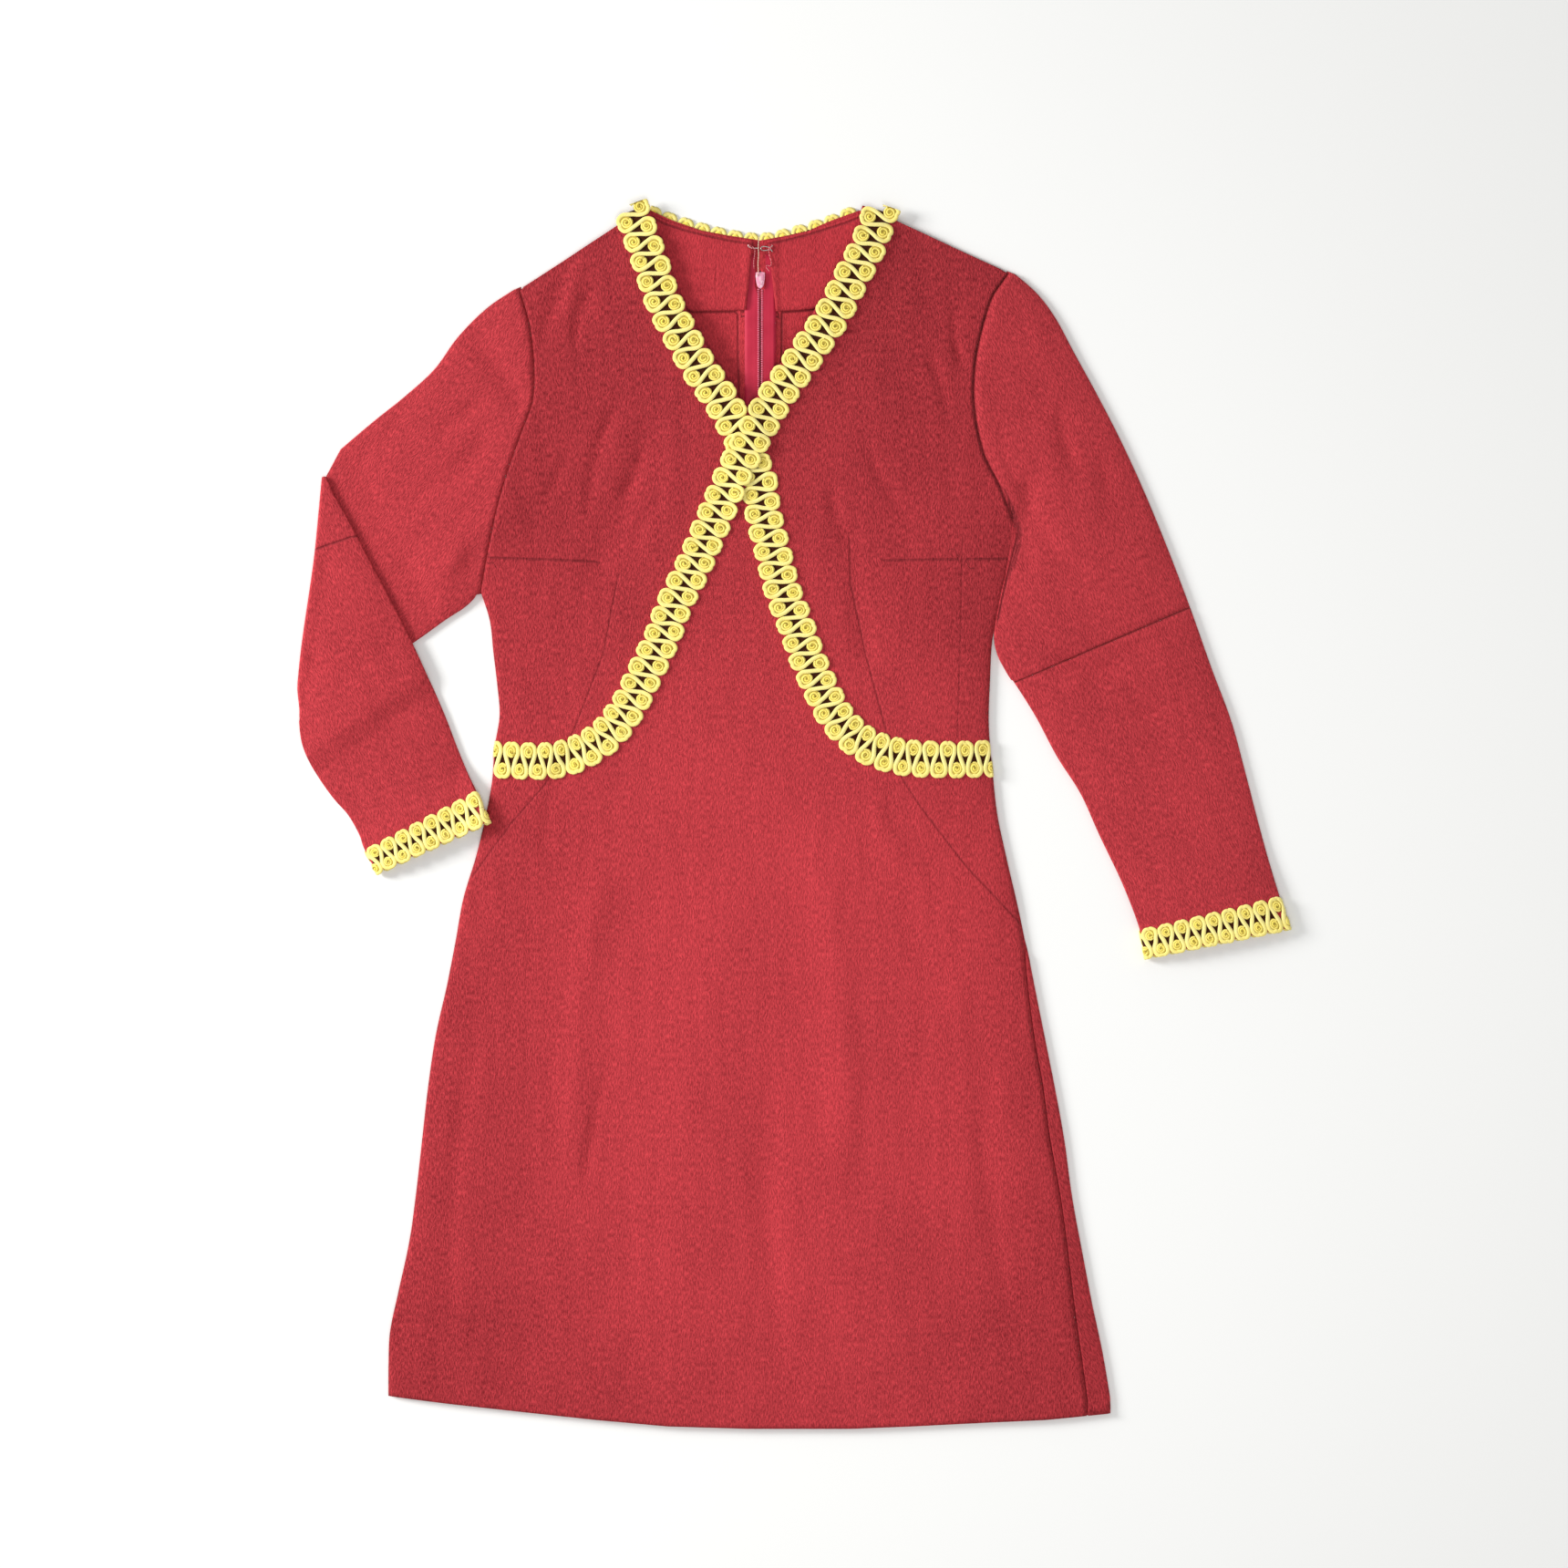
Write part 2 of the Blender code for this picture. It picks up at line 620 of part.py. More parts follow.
def make_straight_sleeve():
    """The sleeve on the right: an upper and a lower piece, joined at the elbow."""
    shares, offsets = armhole(1)
    lift_from = len(STRAIGHT_SLEEVE) - 2

    def ring(row, number, step=0.0):
        lift = BRAID_LIFT if number >= lift_from else 0.0
        line = [(x + step, y) for x, y in across(*row, shares, offsets)]
        return sleeve_ring(line, lambda x, y: BACK_MID + lift, lambda x, y: top_mid(x, y) + lift)

    table = STRAIGHT_SLEEVE
    upper = [ring(row, i, ARMHOLE_STEP if i == 0 else 0.0) for i, row in enumerate(table[:ELBOW_ROW])]
    upper.append(ring(shifted(table[ELBOW_ROW], table[ELBOW_ROW - 1], ELBOW_HALF_GAP), ELBOW_ROW))
    lower = [ring(shifted(table[ELBOW_ROW], table[ELBOW_ROW + 1], ELBOW_HALF_GAP), ELBOW_ROW)]
    lower += [ring(row, i + ELBOW_ROW + 1) for i, row in enumerate(table[ELBOW_ROW + 1:])]
    return tube("straight_sleeve_upper", upper), tube("straight_sleeve_lower", lower)


def under_forearm(x, y):
    """Whether a place on the folded sleeve is hidden by its forearm."""
    for (x0, y0), (x1, y1) in zip(FOREARM_EDGE, FOREARM_EDGE[1:]):
        if y1 <= y <= y0:
            return x <= mix(x0, x1, (y0 - y) / (y0 - y1))
    return False


def pressed_top(x, y):
    """The folded sleeve's upper layer, pressed flat where the forearm lies on it."""
    return EDGE_TOP if under_forearm(x, y) else top_mid(x, y)


def forearm_floor(x, y):
    """Height of what the forearm lies on: its own upper half, the body or nothing."""
    on_sleeve = EDGE_TOP + CLOTH / 2 + FOREARM_CLEARANCE
    on_body = on_sleeve + ON_BODY_EXTRA
    start, end = UPPER_UNDER_EDGE[0], UPPER_UNDER_EDGE[-1]
    along = (Vector(end) - Vector(start)).normalized()
    side = Vector((along.y, -along.x))
    past_sleeve = -side.dot(Vector((x, y)) - Vector(start)) - SLEEVE_EDGE_MARGIN
    floor = max(0.0, on_sleeve - SETTLE_SLOPE * max(0.0, past_sleeve))
    if y < BODY_MET_BELOW_Y:
        short_of_body = max(0.0, BODY_EDGE_X - x)
        floor = max(floor, on_body - SETTLE_SLOPE * BODY_SETTLE * short_of_body)
    return floor


def make_folded_sleeve():
    """The sleeve on the left: its upper piece turns over at the fold.

    The hidden layers are carried round the fold as nested half rings.
    """
    shares, offsets = armhole(0)
    upper = []
    for i, (outer, under, curve) in enumerate(FOLDED_UPPER):
        step = -ARMHOLE_STEP if i == 0 else 0.0
        line = [(x + step, y) for x, y in across(outer, under, curve, shares, offsets)]
        upper.append(sleeve_ring(line, lambda x, y: BACK_MID, pressed_top))
    start, end = Vector(FOLD_LINE[0]), Vector(FOLD_LINE[1])
    along = (end - start).normalized()
    outward = Vector((along.y, -along.x))
    axis_z = EDGE_TOP + INNER_FOLD_RADIUS
    outer_radius = axis_z - BACK_MID
    for k in range(FOLD_STEPS + 1):
        angle = math.pi * k / FOLD_STEPS
        rise, reach = -math.cos(angle), math.sin(angle)
        ring = []
        for radius, order in ((outer_radius, shares), (INNER_FOLD_RADIUS, shares[::-1])):
            for share in order:
                place = start.lerp(end, share) - outward * FOLD_INSET + outward * radius * reach
                ring.append((place.x, place.y, axis_z + radius * rise))
            mid_radius = (outer_radius + INNER_FOLD_RADIUS) / 2
            tip = (end + along * SIDE_ROUNDING) if order is shares else (start - along * SIDE_ROUNDING)
            tip = tip - outward * FOLD_INSET + outward * mid_radius * reach
            ring.append((tip.x, tip.y, axis_z + mid_radius * rise))
        upper.append(ring)
    straight = [Vector((0.0, 0.0))] * len(shares)
    lift_from = len(FOREARM) - 2

    def ring_of_forearm(row, number):
        lift = BRAID_LIFT if number >= lift_from else 0.0
        depth = EDGE_TOP - BACK_MID
        loft = LOFT_FOREARM * smooth(number / LOFT_FOREARM_ROWS)

        def low(x, y):
            return forearm_floor(x, y) + BACK_MID + lift

        def high(x, y):
            away = min(distance_to_path((x, y), [r[0] for r in FOREARM]),
                       distance_to_path((x, y), [r[1] for r in FOREARM]))
            return low(x, y) + depth + loft * (1.0 - math.exp(-away / LOFT_REACH))

        line = across(row[0], row[1], 0.0, shares, straight)
        return sleeve_ring(line, low, high, turned=True)

    upper.append(ring_of_forearm(FOREARM[0], 0))
    first = [(x + FOLD_SEAM, y) for x, y in FOREARM[0]]
    lower = [ring_of_forearm(first, 0)]
    lower += [ring_of_forearm(row, i + 1) for i, row in enumerate(FOREARM[1:])]
    return tube("folded_sleeve_upper", upper), tube("folded_sleeve_lower", lower)


def surface_of(*things):
    """Ray targets for what lies on the given objects."""
    bpy.context.view_layer.update()
    graph = bpy.context.evaluated_depsgraph_get()
    return [BVHTree.FromObject(thing, graph) for thing in things]


def height_over(x, y, surfaces, reach, missed):
    """Highest point of the surfaces within reach of a place, or what stands in for none."""
    best = None
    around = [math.pi * a / 4 for a in range(8)]
    spots = [(0.0, 0.0)] + [(far * math.cos(a), far * math.sin(a))
                            for far in (reach / 3, reach) for a in around]
    for dx, dy in spots:
        for surface in surfaces:
            hit = surface.ray_cast(Vector((x + dx, y + dy, ABOVE_ALL)) * MM, Vector((0, 0, -1)))[0]
            if hit is not None and (best is None or hit.z / MM > best):
                best = hit.z / MM
    return missed if best is None else best


def smooth_route(route, stations):
    """Evenly spaced points and directions along a smooth curve through a route."""
    ends = [Vector(p) for p in route]
    ends = [ends[0] * 2 - ends[1]] + ends + [ends[-1] * 2 - ends[-2]]
    fine = []
    steps = 16
    for a, b, c, d in zip(ends, ends[1:], ends[2:], ends[3:]):
        for k in range(steps):
            t = k / steps
            fine.append(0.5 * ((2 * b) + (c - a) * t + (2 * a - 5 * b + 4 * c - d) * t * t
                               + (3 * b - a - 3 * c + d) * t ** 3))
    fine.append(ends[-2])
    lengths = [0.0]
    for a, b in zip(fine, fine[1:]):
        lengths.append(lengths[-1] + (b - a).length)
    total = lengths[-1]
    count = round(total / BRAID_PITCH)
    wanted = [total * (n + phase) / count for n in range(count) for phase in stations] + [total]
    points = []
    k = 0
    for want in wanted:
        while k < len(lengths) - 2 and lengths[k + 1] < want:
            k += 1
        share = (want - lengths[k]) / (lengths[k + 1] - lengths[k])
        points.append((fine[k].lerp(fine[k + 1], share), (fine[k + 1] - fine[k]).normalized()))
    return points


# One S of the braid: stations along it, rows across it, and how high each is.
BRAID_STATIONS = (0.0, 0.3, 0.7)
BRAID_ROWS = (-1.0, -0.74, -0.4, -0.16, 0.16, 0.4, 0.74, 1.0)
NOTCH = 2.6
COIL_RELIEF = (0.0, 1.5, 1.3)
BAR_RELIEF = 1.0


def braid_relief(station, row, slant):
    """Height of the cord over the strip's base at a station and row."""
    reach = abs(row)
    if reach > 0.9:
        return 0.0
    between = station == 0
    if reach > 0.6:
        return 0.2 if between else COIL_RELIEF[1]
    if reach > 0.3:
        return 0.2 if between else COIL_RELIEF[2]
    leading = (station == 1) == (slant * row > 0)
    return BAR_RELIEF if leading and not between else 0.1


def strip_outline(row, station):
    """Distance from the strip's middle, scalloped along both edges."""
    inset = NOTCH if station == 0 and abs(row) > 0.9 else 0.0
    return row * BRAID_HALF - math.copysign(inset, row)


def make_braid(name, route, surfaces, slant):
    """A strip of scroll braid laid along a route on top of what it is sewn to."""
    line = smooth_route(route, BRAID_STATIONS)
    under_rows = (0, 3, len(BRAID_ROWS) - 1)
    per_unit = len(BRAID_STATIONS)
    last_heights = {row: EDGE_TOP for row in under_rows}
    seats = []
    for n, (centre, ahead) in enumerate(line):
        side = Vector((-ahead.y, ahead.x))
        station = n % per_unit
        seat = {}
        for row in under_rows:
            away = strip_outline(BRAID_ROWS[row], station)
            place = centre + side * away
            best = max(height_over(place.x + side.x * s, place.y + side.y * s, surfaces,
                                   BRAID_SEAT_REACH, last_heights[row])
                       for s in (-BRAID_SEAT_SPREAD, 0.0, BRAID_SEAT_SPREAD))
            last_heights[row] = best
            seat[row] = best + BRAID_GAP
        seats.append(seat)
    spacing = BRAID_PITCH / per_unit
    for row in under_rows:
        for order in (range(1, len(seats)), range(len(seats) - 2, -1, -1)):
            for n in order:
                before = n - 1 if order.step == 1 else n + 1
                seats[n][row] = max(seats[n][row], seats[before][row] - BRAID_STEEPEST * spacing)
    points = []
    for n, (centre, ahead) in enumerate(line):
        side = Vector((-ahead.y, ahead.x))
        station = n % per_unit
        seat = seats[n]
        middle = BRAID_ROWS[under_rows[1]]
        for row in under_rows:
            place = centre + side * strip_outline(BRAID_ROWS[row], station)
            points.append((place.x, place.y, seat[row]))
        for r, row in enumerate(BRAID_ROWS):
            place = centre + side * strip_outline(row, station)
            if row <= middle:
                base = mix(seat[under_rows[0]], seat[under_rows[1]], (row + 1.0) / (middle + 1.0))
            else:
                base = mix(seat[under_rows[1]], seat[under_rows[2]], (row - middle) / (1.0 - middle))
            points.append((place.x, place.y, base + BRAID_BASE + braid_relief(station, row, slant)))
    faces = []
    below = len(under_rows)
    wide = below + len(BRAID_ROWS)
    top = range(below, wide)
    loop = list(range(below)) + list(reversed(top))
    for n in range(len(line) - 1):
        here, there = n * wide, (n + 1) * wide
        for a, b in zip(loop, loop[1:] + loop[:1]):
            faces.append([here + a, here + b, there + b, there + a])
    faces.append(loop)
    faces.append([(len(line) - 1) * wide + i for i in reversed(loop)])
    strip = new_object(name, points, faces, "braid")
    face_outwards(strip)
    return strip


def make_back_neck_braid():
    """The braid on the outside of the back neckline: its scallops show over the edge."""
    line = smooth_route(BACK_NECK_ROUTE, (0.0, 0.5))
    top = NECK_BRAID_THICKNESS
    wide = 4
    points = []
    for n, (centre, ahead) in enumerate(line):
        side = Vector((-ahead.y, ahead.x))
        half = BRAID_HALF - (NECK_BRAID_NOTCH if n % 2 == 0 else 0.0)
        for away, z in ((-half, 0.0), (half, 0.0), (half, top), (-half, top)):
            place = centre + side * away
            points.append((place.x, place.y, z))
    faces = [[0, 1, 2, 3], [(len(line) - 1) * wide + i for i in (3, 2, 1, 0)]]
    for n in range(len(line) - 1):
        for a in range(wide):
            b = (a + 1) % wide
            faces.append([n * wide + a, n * wide + b, (n + 1) * wide + b, (n + 1) * wide + a])
    strip = new_object("back_neck_braid", points, faces, "braid")
    face_outwards(strip)
    return strip


def make_cuff_braid(name, wrist_row, end_row, sleeve, slant):
    """Braid all round a wrist: scrolls on top, plain where the sleeve lies on it."""
    surfaces = surface_of(sleeve)
    width = (Vector(end_row[0]) - Vector(end_row[1])).length
    count = round(width / BRAID_PITCH)
    stations = [(n + phase) / count for n in range(count) for phase in BRAID_STATIONS] + [1.0]
    edge = CLOTH / 2 + SIDE_ROUNDING + SEAM_GAP
    over = EDGE_TOP
    found = BRAID_LIFT
    points = []
    along_rows = [(row + 1.0) / 2.0 for row in BRAID_ROWS]

    def underside(x, y, missed):
        lowest = None
        for dx, dy in ((0, 0), (4, 0), (-4, 0), (0, 4), (0, -4)):
            start = Vector((x + dx, y + dy, BELOW_ALL)) * MM
            hit = surfaces[0].ray_cast(start, Vector((0, 0, 1)))[0]
            if hit is not None and (lowest is None or hit.z / MM < lowest):
                lowest = hit.z / MM
        return missed if lowest is None else lowest

    loops = []
    for r, row in enumerate(BRAID_ROWS):
        outer = Vector(mix_points(wrist_row[0], end_row[0], along_rows[r]))
        under = Vector(mix_points(wrist_row[1], end_row[1], along_rows[r]))
        ahead = (Vector(end_row[0]) - Vector(wrist_row[0])).normalized()
        reach = (under - outer).normalized()
        inside = []
        outside = []
        for n, share in enumerate(stations):
            station = n % len(BRAID_STATIONS)
            place = outer.lerp(under, share)
            place = place + ahead * (strip_outline(row, station) - row * BRAID_HALF)
            over = height_over(place.x, place.y, surfaces, 5.0, over)
            inside.append((place.x, place.y, over + BRAID_GAP))
            outside.append((place.x, place.y,
                            over + BRAID_GAP + BRAID_BASE + braid_relief(station, row, slant)))
        bottom = []
        for share in CUFF_UNDER_SHARES:
            place = outer.lerp(under, share)
            found = underside(place.x, place.y, found)
            bottom.append((place, found - CUFF_UNDER_GAP))
        for end, direction, upper_z, lower_z in (
                (under, reach, inside[-1][2], bottom[0][1]), (outer, -reach, inside[0][2], bottom[-1][1])):
            near = end + direction * edge
            far = end + direction * (edge + CUFF_SIDE)
            side_in = [(near.x, near.y, upper_z), (near.x, near.y, lower_z)]
            side_out = [(far.x, far.y, upper_z + CUFF_SIDE_RISE),
                        (far.x, far.y, max(0.0, lower_z - CUFF_SIDE_RISE))]
            if end is under:
                inside += side_in
                outside += side_out
                for place, seat in bottom:
                    inside.append((place.x, place.y, seat))
                    outside.append((place.x, place.y, max(0.0, seat - CUFF_UNDER)))
            else:
                inside += side_in[::-1]
                outside += side_out[::-1]
        loops.append((inside, outside))
    count = len(loops[0][0])
    for inside, outside in loops:
        points += inside + outside
    faces = []
    rows = len(loops)
    for c in range(count):
        d = (c + 1) % count
        for r in range(rows - 1):
            here, there = r * 2 * count, (r + 1) * 2 * count
            faces.append([here + count + c, here + count + d, there + count + d, there + count + c])
        last = (rows - 1) * 2 * count
        for near, far in zip(INSIDE_ROWS, INSIDE_ROWS[1:]):
            here, there = near * 2 * count, far * 2 * count
            faces.append([here + c, here + d, there + d, there + c])
        faces.append([c, d, count + d, count + c])
        faces.append([last + c, last + d, last + count + d, last + count + c])
    band = new_object(name, points, faces, "braid")
    shape = bmesh.new()
    shape.from_mesh(band.data)
    loose = [v for v in shape.verts if not v.link_faces]
    bmesh.ops.delete(shape, geom=loose, context="VERTS")
    bmesh.ops.recalc_face_normals(shape, faces=shape.faces)
    shape.to_mesh(band.data)
    shape.free()
    return band


def make_facing(name, top_line, low_line, surfaces):
    """A shaped piece that finishes the back neck on the inside."""
    thickness = FACING_THICKNESS
    down = FACING_ROWS
    points = []
    faces = []
    for top, low in zip(top_line, low_line):
        for k in range(down + 1):
            x, y = mix_points(top, low, k / down)
            points.append((x, y, height_over(x, y, surfaces, 2.5, EDGE_TOP) + SEAM_GAP + thickness / 2))
    for j in range(len(top_line) - 1):
        for k in range(down):
            a = j * (down + 1) + k
            faces.append([a, a + 1, a + down + 2, a + down + 1])
    return cloth_wall(name, points, faces, thickness, "crepe_inside")


def make_zip_tape(name, side, surfaces):
    """One half of the zip's woven tape, on the inside of the back."""
    heights = [ZIP_TOP_Y, SLIDER_Y + 10.0, SLIDER_Y - 9.0, SLIDER_Y - 18.0]
    heights += [mix(heights[-1], ZIP_END_Y, (r + 1) / TAPE_ROWS) for r in range(TAPE_ROWS)]
    rows = len(heights) - 1
    points = []
    faces = []
    for y in heights:
        inner = TAPE_INNER_AT_SLIDER if y > SLIDER_Y - 10.0 else TAPE_INNER
        for away in (inner, TAPE_MIDDLE, TAPE_OUTER):
            x = ZIP_X + side * away
            seat = height_over(x, y, surfaces, 1.5, EDGE_TOP) + TAPE_GAP
            points.append((x, y, seat + TAPE_THICKNESS / 2))
    for r in range(rows):
        for c in range(2):
            a = r * 3 + c
            faces.append([a, a + 1, a + 4, a + 3])
    return cloth_wall(name, points, faces, TAPE_THICKNESS, "zip_tape")


def make_zip_coil(surfaces):
    """The closed coil as one ridge, from the slider's post to the end of the zip."""
    rows = COIL_ROWS
    half = COIL_PROFILE[1][0]
    points = []
    faces = []
    for r in range(rows + 1):
        y = mix(SLIDER_Y + COIL_TOP_ABOVE_SLIDER, ZIP_END_Y, r / rows)
        seat = COIL_SEAT_IN_SLIDER
        if y < SLIDER_Y - SLIDER_HALF_LENGTH - 2.0:
            seat = COIL_GAP + max(height_over(ZIP_X + s, y, surfaces, 1.5, CLOTH) for s in (-half, half))
        for x, z in COIL_PROFILE:
            points.append((ZIP_X + x, y, seat + z))
    wide = len(COIL_PROFILE)
    for r in range(rows):
        for a in range(wide):
            b = (a + 1) % wide
            faces.append([r * wide + a, r * wide + b, (r + 1) * wide + b, (r + 1) * wide + a])
    faces.append(list(range(wide)))
    faces.append([rows * wide + i for i in reversed(range(wide))])
    coil = new_object("zip_coil", points, faces, "zip_tape")
    face_outwards(coil)
    return coil


def block(name, low, high, finish):
    """A plain box between two corners."""
    xs, ys, zs = zip(low, high)
    points = [(x, y, z) for x in xs for y in ys for z in zs]
    faces = [(0, 1, 3, 2), (4, 6, 7, 5), (0, 4, 5, 1), (2, 3, 7, 6), (0, 2, 6, 4), (1, 5, 7, 3)]
    made = new_object(name, points, faces, finish)
    face_outwards(made)
    return made


def make_slider():
    """The zip's slider: two plates joined by a post, with ears for the pull."""
    back, front = SLIDER_Y - SLIDER_HALF_LENGTH, SLIDER_Y + SLIDER_HALF_LENGTH
    post = SLIDER_Y + SLIDER_POST
    under, over = SLIDER_OUTER_PLATE
    low, high = SLIDER_INNER_PLATE
    side = ((back, under), (front, under), (front, high), (back, high),
            (back, low), (post, low), (post, over), (back, over))
    points = []
    for sign in (-1, 1):
        for y, z in side:
            half = mix(*SLIDER_HALF_WIDTHS, (y - back) / (front - back))
            points.append((ZIP_X + sign * half, y, z))
    count = len(side)
    faces = [list(range(count)), [count + i for i in reversed(range(count))]]
    for a in range(count):
        b = (a + 1) % count
        faces.append([a, b, count + b, count + a])
    slider = new_object("zip_slider", points, faces, "enamel")
    face_outwards(slider)
    for number, sign in enumerate((-1, 1)):
        near, far = sorted((ZIP_X + sign * EAR_NEAR, ZIP_X + sign * EAR_FAR))
        ear = block(f"ear_{number}", (near, HINGE_Y - EAR_HALF, EAR_LEVELS[0]),
                    (far, HINGE_Y + EAR_HALF, EAR_LEVELS[1]), "enamel")
        ear.hide_render = True
        ear.display_type = "WIRE"
        join = slider.modifiers.new(f"ear {number}", "BOOLEAN")
        join.operation = "UNION"
        join.object = ear
    return slider


def make_pull():
    """The pull on the outer side of the slider: it swings out about its top end."""
    outline = [*PULL_HALF, *((-x, y) for x, y in reversed(PULL_HALF[:-1]))]
    half = PULL_THICKNESS / 2
    points = [(x, y, z) for z in (-half, half) for x, y in outline]
    count = len(outline)
    faces = [list(range(count)), [count + i for i in reversed(range(count))]]
    for a in range(count):
        b = (a + 1) % count
        faces.append([a, b, count + b, count + a])
    pull = new_object("zip_pull", points, faces, "enamel")
    face_outwards(pull)
    pull.location = Vector((ZIP_X, HINGE_Y, HINGE_Z)) * MM
    return pull


def make_wire(name, route, z):
    """A bent wire of the hook and eye."""
    curve = bpy.data.curves.new(name, "CURVE")
    curve.dimensions = "3D"
    curve.bevel_depth = WIRE_RADIUS * MM
    curve.bevel_resolution = 1
    curve.use_fill_caps = True
    spline = curve.splines.new("POLY")
    spline.points.add(len(route) - 1)
    for point, (x, y) in zip(spline.points, route):
        point.co = (x * MM, y * MM, z * MM, 1.0)
    curve.materials.append(material("steel"))
    made = bpy.data.objects.new(name, curve)
    bpy.context.scene.collection.objects.link(made)
    return made


def make_hook_and_eye(surfaces):
    """The fastening over the zip: a wire hook on one side and its eye on the other."""
    level = max(height_over(ZIP_X + s, HOOK_Y, surfaces, 2.0, EDGE_TOP) for s in (-7.0, 7.0))
    for name, route in (("hook", HOOK_WIRE), ("eye", EYE_WIRE)):
        make_wire(name, [(ZIP_X + x, HOOK_Y + y) for x, y in route], level + HOOK_OVER_FACING)


def centre_on_origin():
    """Moves everything so that the dress's middle is over the origin."""
    for thing in bpy.context.scene.objects:
        thing.location.x -= MIDDLE[0] * MM
        thing.location.y -= MIDDLE[1] * MM


def main():
    clear_scene()
    front = make_front()
    backs = [make_back("back_left", 0), make_back("back_right", 1)]
    _, straight_lower = make_straight_sleeve()
    _, folded_lower = make_folded_sleeve()
    inside = surface_of(*backs)
    tapes = [make_zip_tape("zip_tape_left", -1, inside), make_zip_tape("zip_tape_right", 1, inside)]
    make_zip_coil(inside)
    on_tape = surface_of(*backs, *tapes)
    facings = [make_facing(name, top, low, on_tape) for name, top, low in FACINGS]
    make_slider()
    make_pull()
    make_hook_and_eye(surface_of(*facings))
    lower_strip = make_braid("braid_from_left_shoulder", LEFT_SHOULDER_ROUTE, surface_of(front), 1)
    make_braid("braid_from_right_shoulder", RIGHT_SHOULDER_ROUTE, surface_of(front, lower_strip), -1)
    make_back_neck_braid()
    make_cuff_braid("cuff_braid_straight", STRAIGHT_SLEEVE[-2], STRAIGHT_SLEEVE[-1], straight_lower, 1)
    make_cuff_braid("cuff_braid_folded", FOREARM[-2], FOREARM[-1], folded_lower, 1)
    centre_on_origin()


main()
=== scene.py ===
import math

import bpy
import numpy as np
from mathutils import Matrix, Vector


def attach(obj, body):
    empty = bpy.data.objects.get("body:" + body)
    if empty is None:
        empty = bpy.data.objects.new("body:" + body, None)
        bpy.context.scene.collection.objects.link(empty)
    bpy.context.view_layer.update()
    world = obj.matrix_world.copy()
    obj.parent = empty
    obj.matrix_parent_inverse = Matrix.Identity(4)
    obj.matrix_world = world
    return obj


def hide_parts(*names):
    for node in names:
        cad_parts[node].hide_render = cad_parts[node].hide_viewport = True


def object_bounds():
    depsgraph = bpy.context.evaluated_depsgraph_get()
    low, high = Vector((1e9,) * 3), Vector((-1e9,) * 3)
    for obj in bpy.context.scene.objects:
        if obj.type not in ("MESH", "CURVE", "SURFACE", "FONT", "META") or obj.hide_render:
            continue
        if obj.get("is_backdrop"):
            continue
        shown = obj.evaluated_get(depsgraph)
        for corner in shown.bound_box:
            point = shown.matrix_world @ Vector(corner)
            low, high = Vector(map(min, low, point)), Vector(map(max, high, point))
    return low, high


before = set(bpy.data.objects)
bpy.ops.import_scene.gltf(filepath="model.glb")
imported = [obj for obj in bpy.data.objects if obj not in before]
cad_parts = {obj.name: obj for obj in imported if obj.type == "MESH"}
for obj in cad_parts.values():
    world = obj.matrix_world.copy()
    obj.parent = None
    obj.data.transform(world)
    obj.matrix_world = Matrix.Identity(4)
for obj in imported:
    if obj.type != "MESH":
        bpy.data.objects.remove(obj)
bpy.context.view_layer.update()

# The two backs
# Crimson double-knit crepe, cut as a left and a right back with the zip between
# them. They lie face down, so only their wrong side shows, inside the neck.
MM = 0.001
# Places are in mm from the middle of the photo's zip and waist, as they were measured;
# MIDDLE is where the frame's origin lies among them.
MIDDLE = np.array((0.98, -2.09))
CLOTH = 1.2      # thickness of the crepe
BACK_MID = 0.66  # height of the backs' middle above the table
EDGE_TOP = 2.35  # height of the upper layer's middle at its edges
ZIP_X = -26.6

LEFT_ARMHOLE = ((-219, 420), (-211, 393), (-207, 360), (-208, 331), (-218, 303), (-227, 278),
                (-235, 251), (-241, 225), (-246, 200), (-250, 178))
RIGHT_ARMHOLE = ((171.5, 433.5), (159, 416), (151, 393), (145, 366), (143, 338), (146, 309),
                 (153, 284), (163, 265), (171, 246), (179, 225))
LEFT_SIDE = ((-250, 178), (-243, 156), (-240, 130), (-237, 105), (-235, 79), (-239, 54),
             (-241, 27), (-246, -1), (-254, -34), (-264, -67), (-270, -100), (-277, -136),
             (-286, -176), (-292, -216), (-297, -260), (-302, -304), (-308, -348),
             (-316, -391), (-323, -432), (-324, -465))
RIGHT_SIDE = ((179, 225), (172, 200), (165, 170), (159, 141), (157, 108), (156, 72), (159, 35),
              (163, -1), (170, -34), (178, -67), (185, -100), (192, -136), (200, -176),
              (208, -216), (216, -260), (222, -304), (230, -349), (238, -394), (247, -440),
              (253, -479))
SIDE_SEAM = ((179, 225), (172, 200), (165, 170), (159, 141), (157, 108), (156, 72), (159, 35),
             (163, -1), (170, -34), (177.5, -67), (183.5, -100), (187, -136), (192, -176),
             (199, -216), (205, -260), (213, -304), (219, -349), (224, -394), (230, -440),
             (235, -479))
LEFT_SHOULDER = ((-219, 420), (-116, 487))
RIGHT_SHOULDER = ((171.5, 433.5), (55, 487))
LEFT_NECK = ((-116, 487), (-108, 464), (-100, 441), (-90, 413), (-77, 387), (-62, 362),
             (-49, 341), (-37, 322))
RIGHT_NECK = ((55, 487), (49, 464), (37, 441), (22, 413), (8, 387), (-9, 362), (-24, 341),
              (-37, 322))
BACK_NECK = (
    (-116, 484), (-88, 472), (-58, 464), (ZIP_X, 460), (0, 464), (27, 474), (55, 484))
HEM = ((-324, -465), (-276, -471), (-213, -478), (-157, -484), (-101, -489), (-37, -491),
       (46, -491), (97, -489), (156, -486), (201, -484), (253, -479))
HEM_BENDS_FROM = -330.0
HEM_LOWEST = -491.0
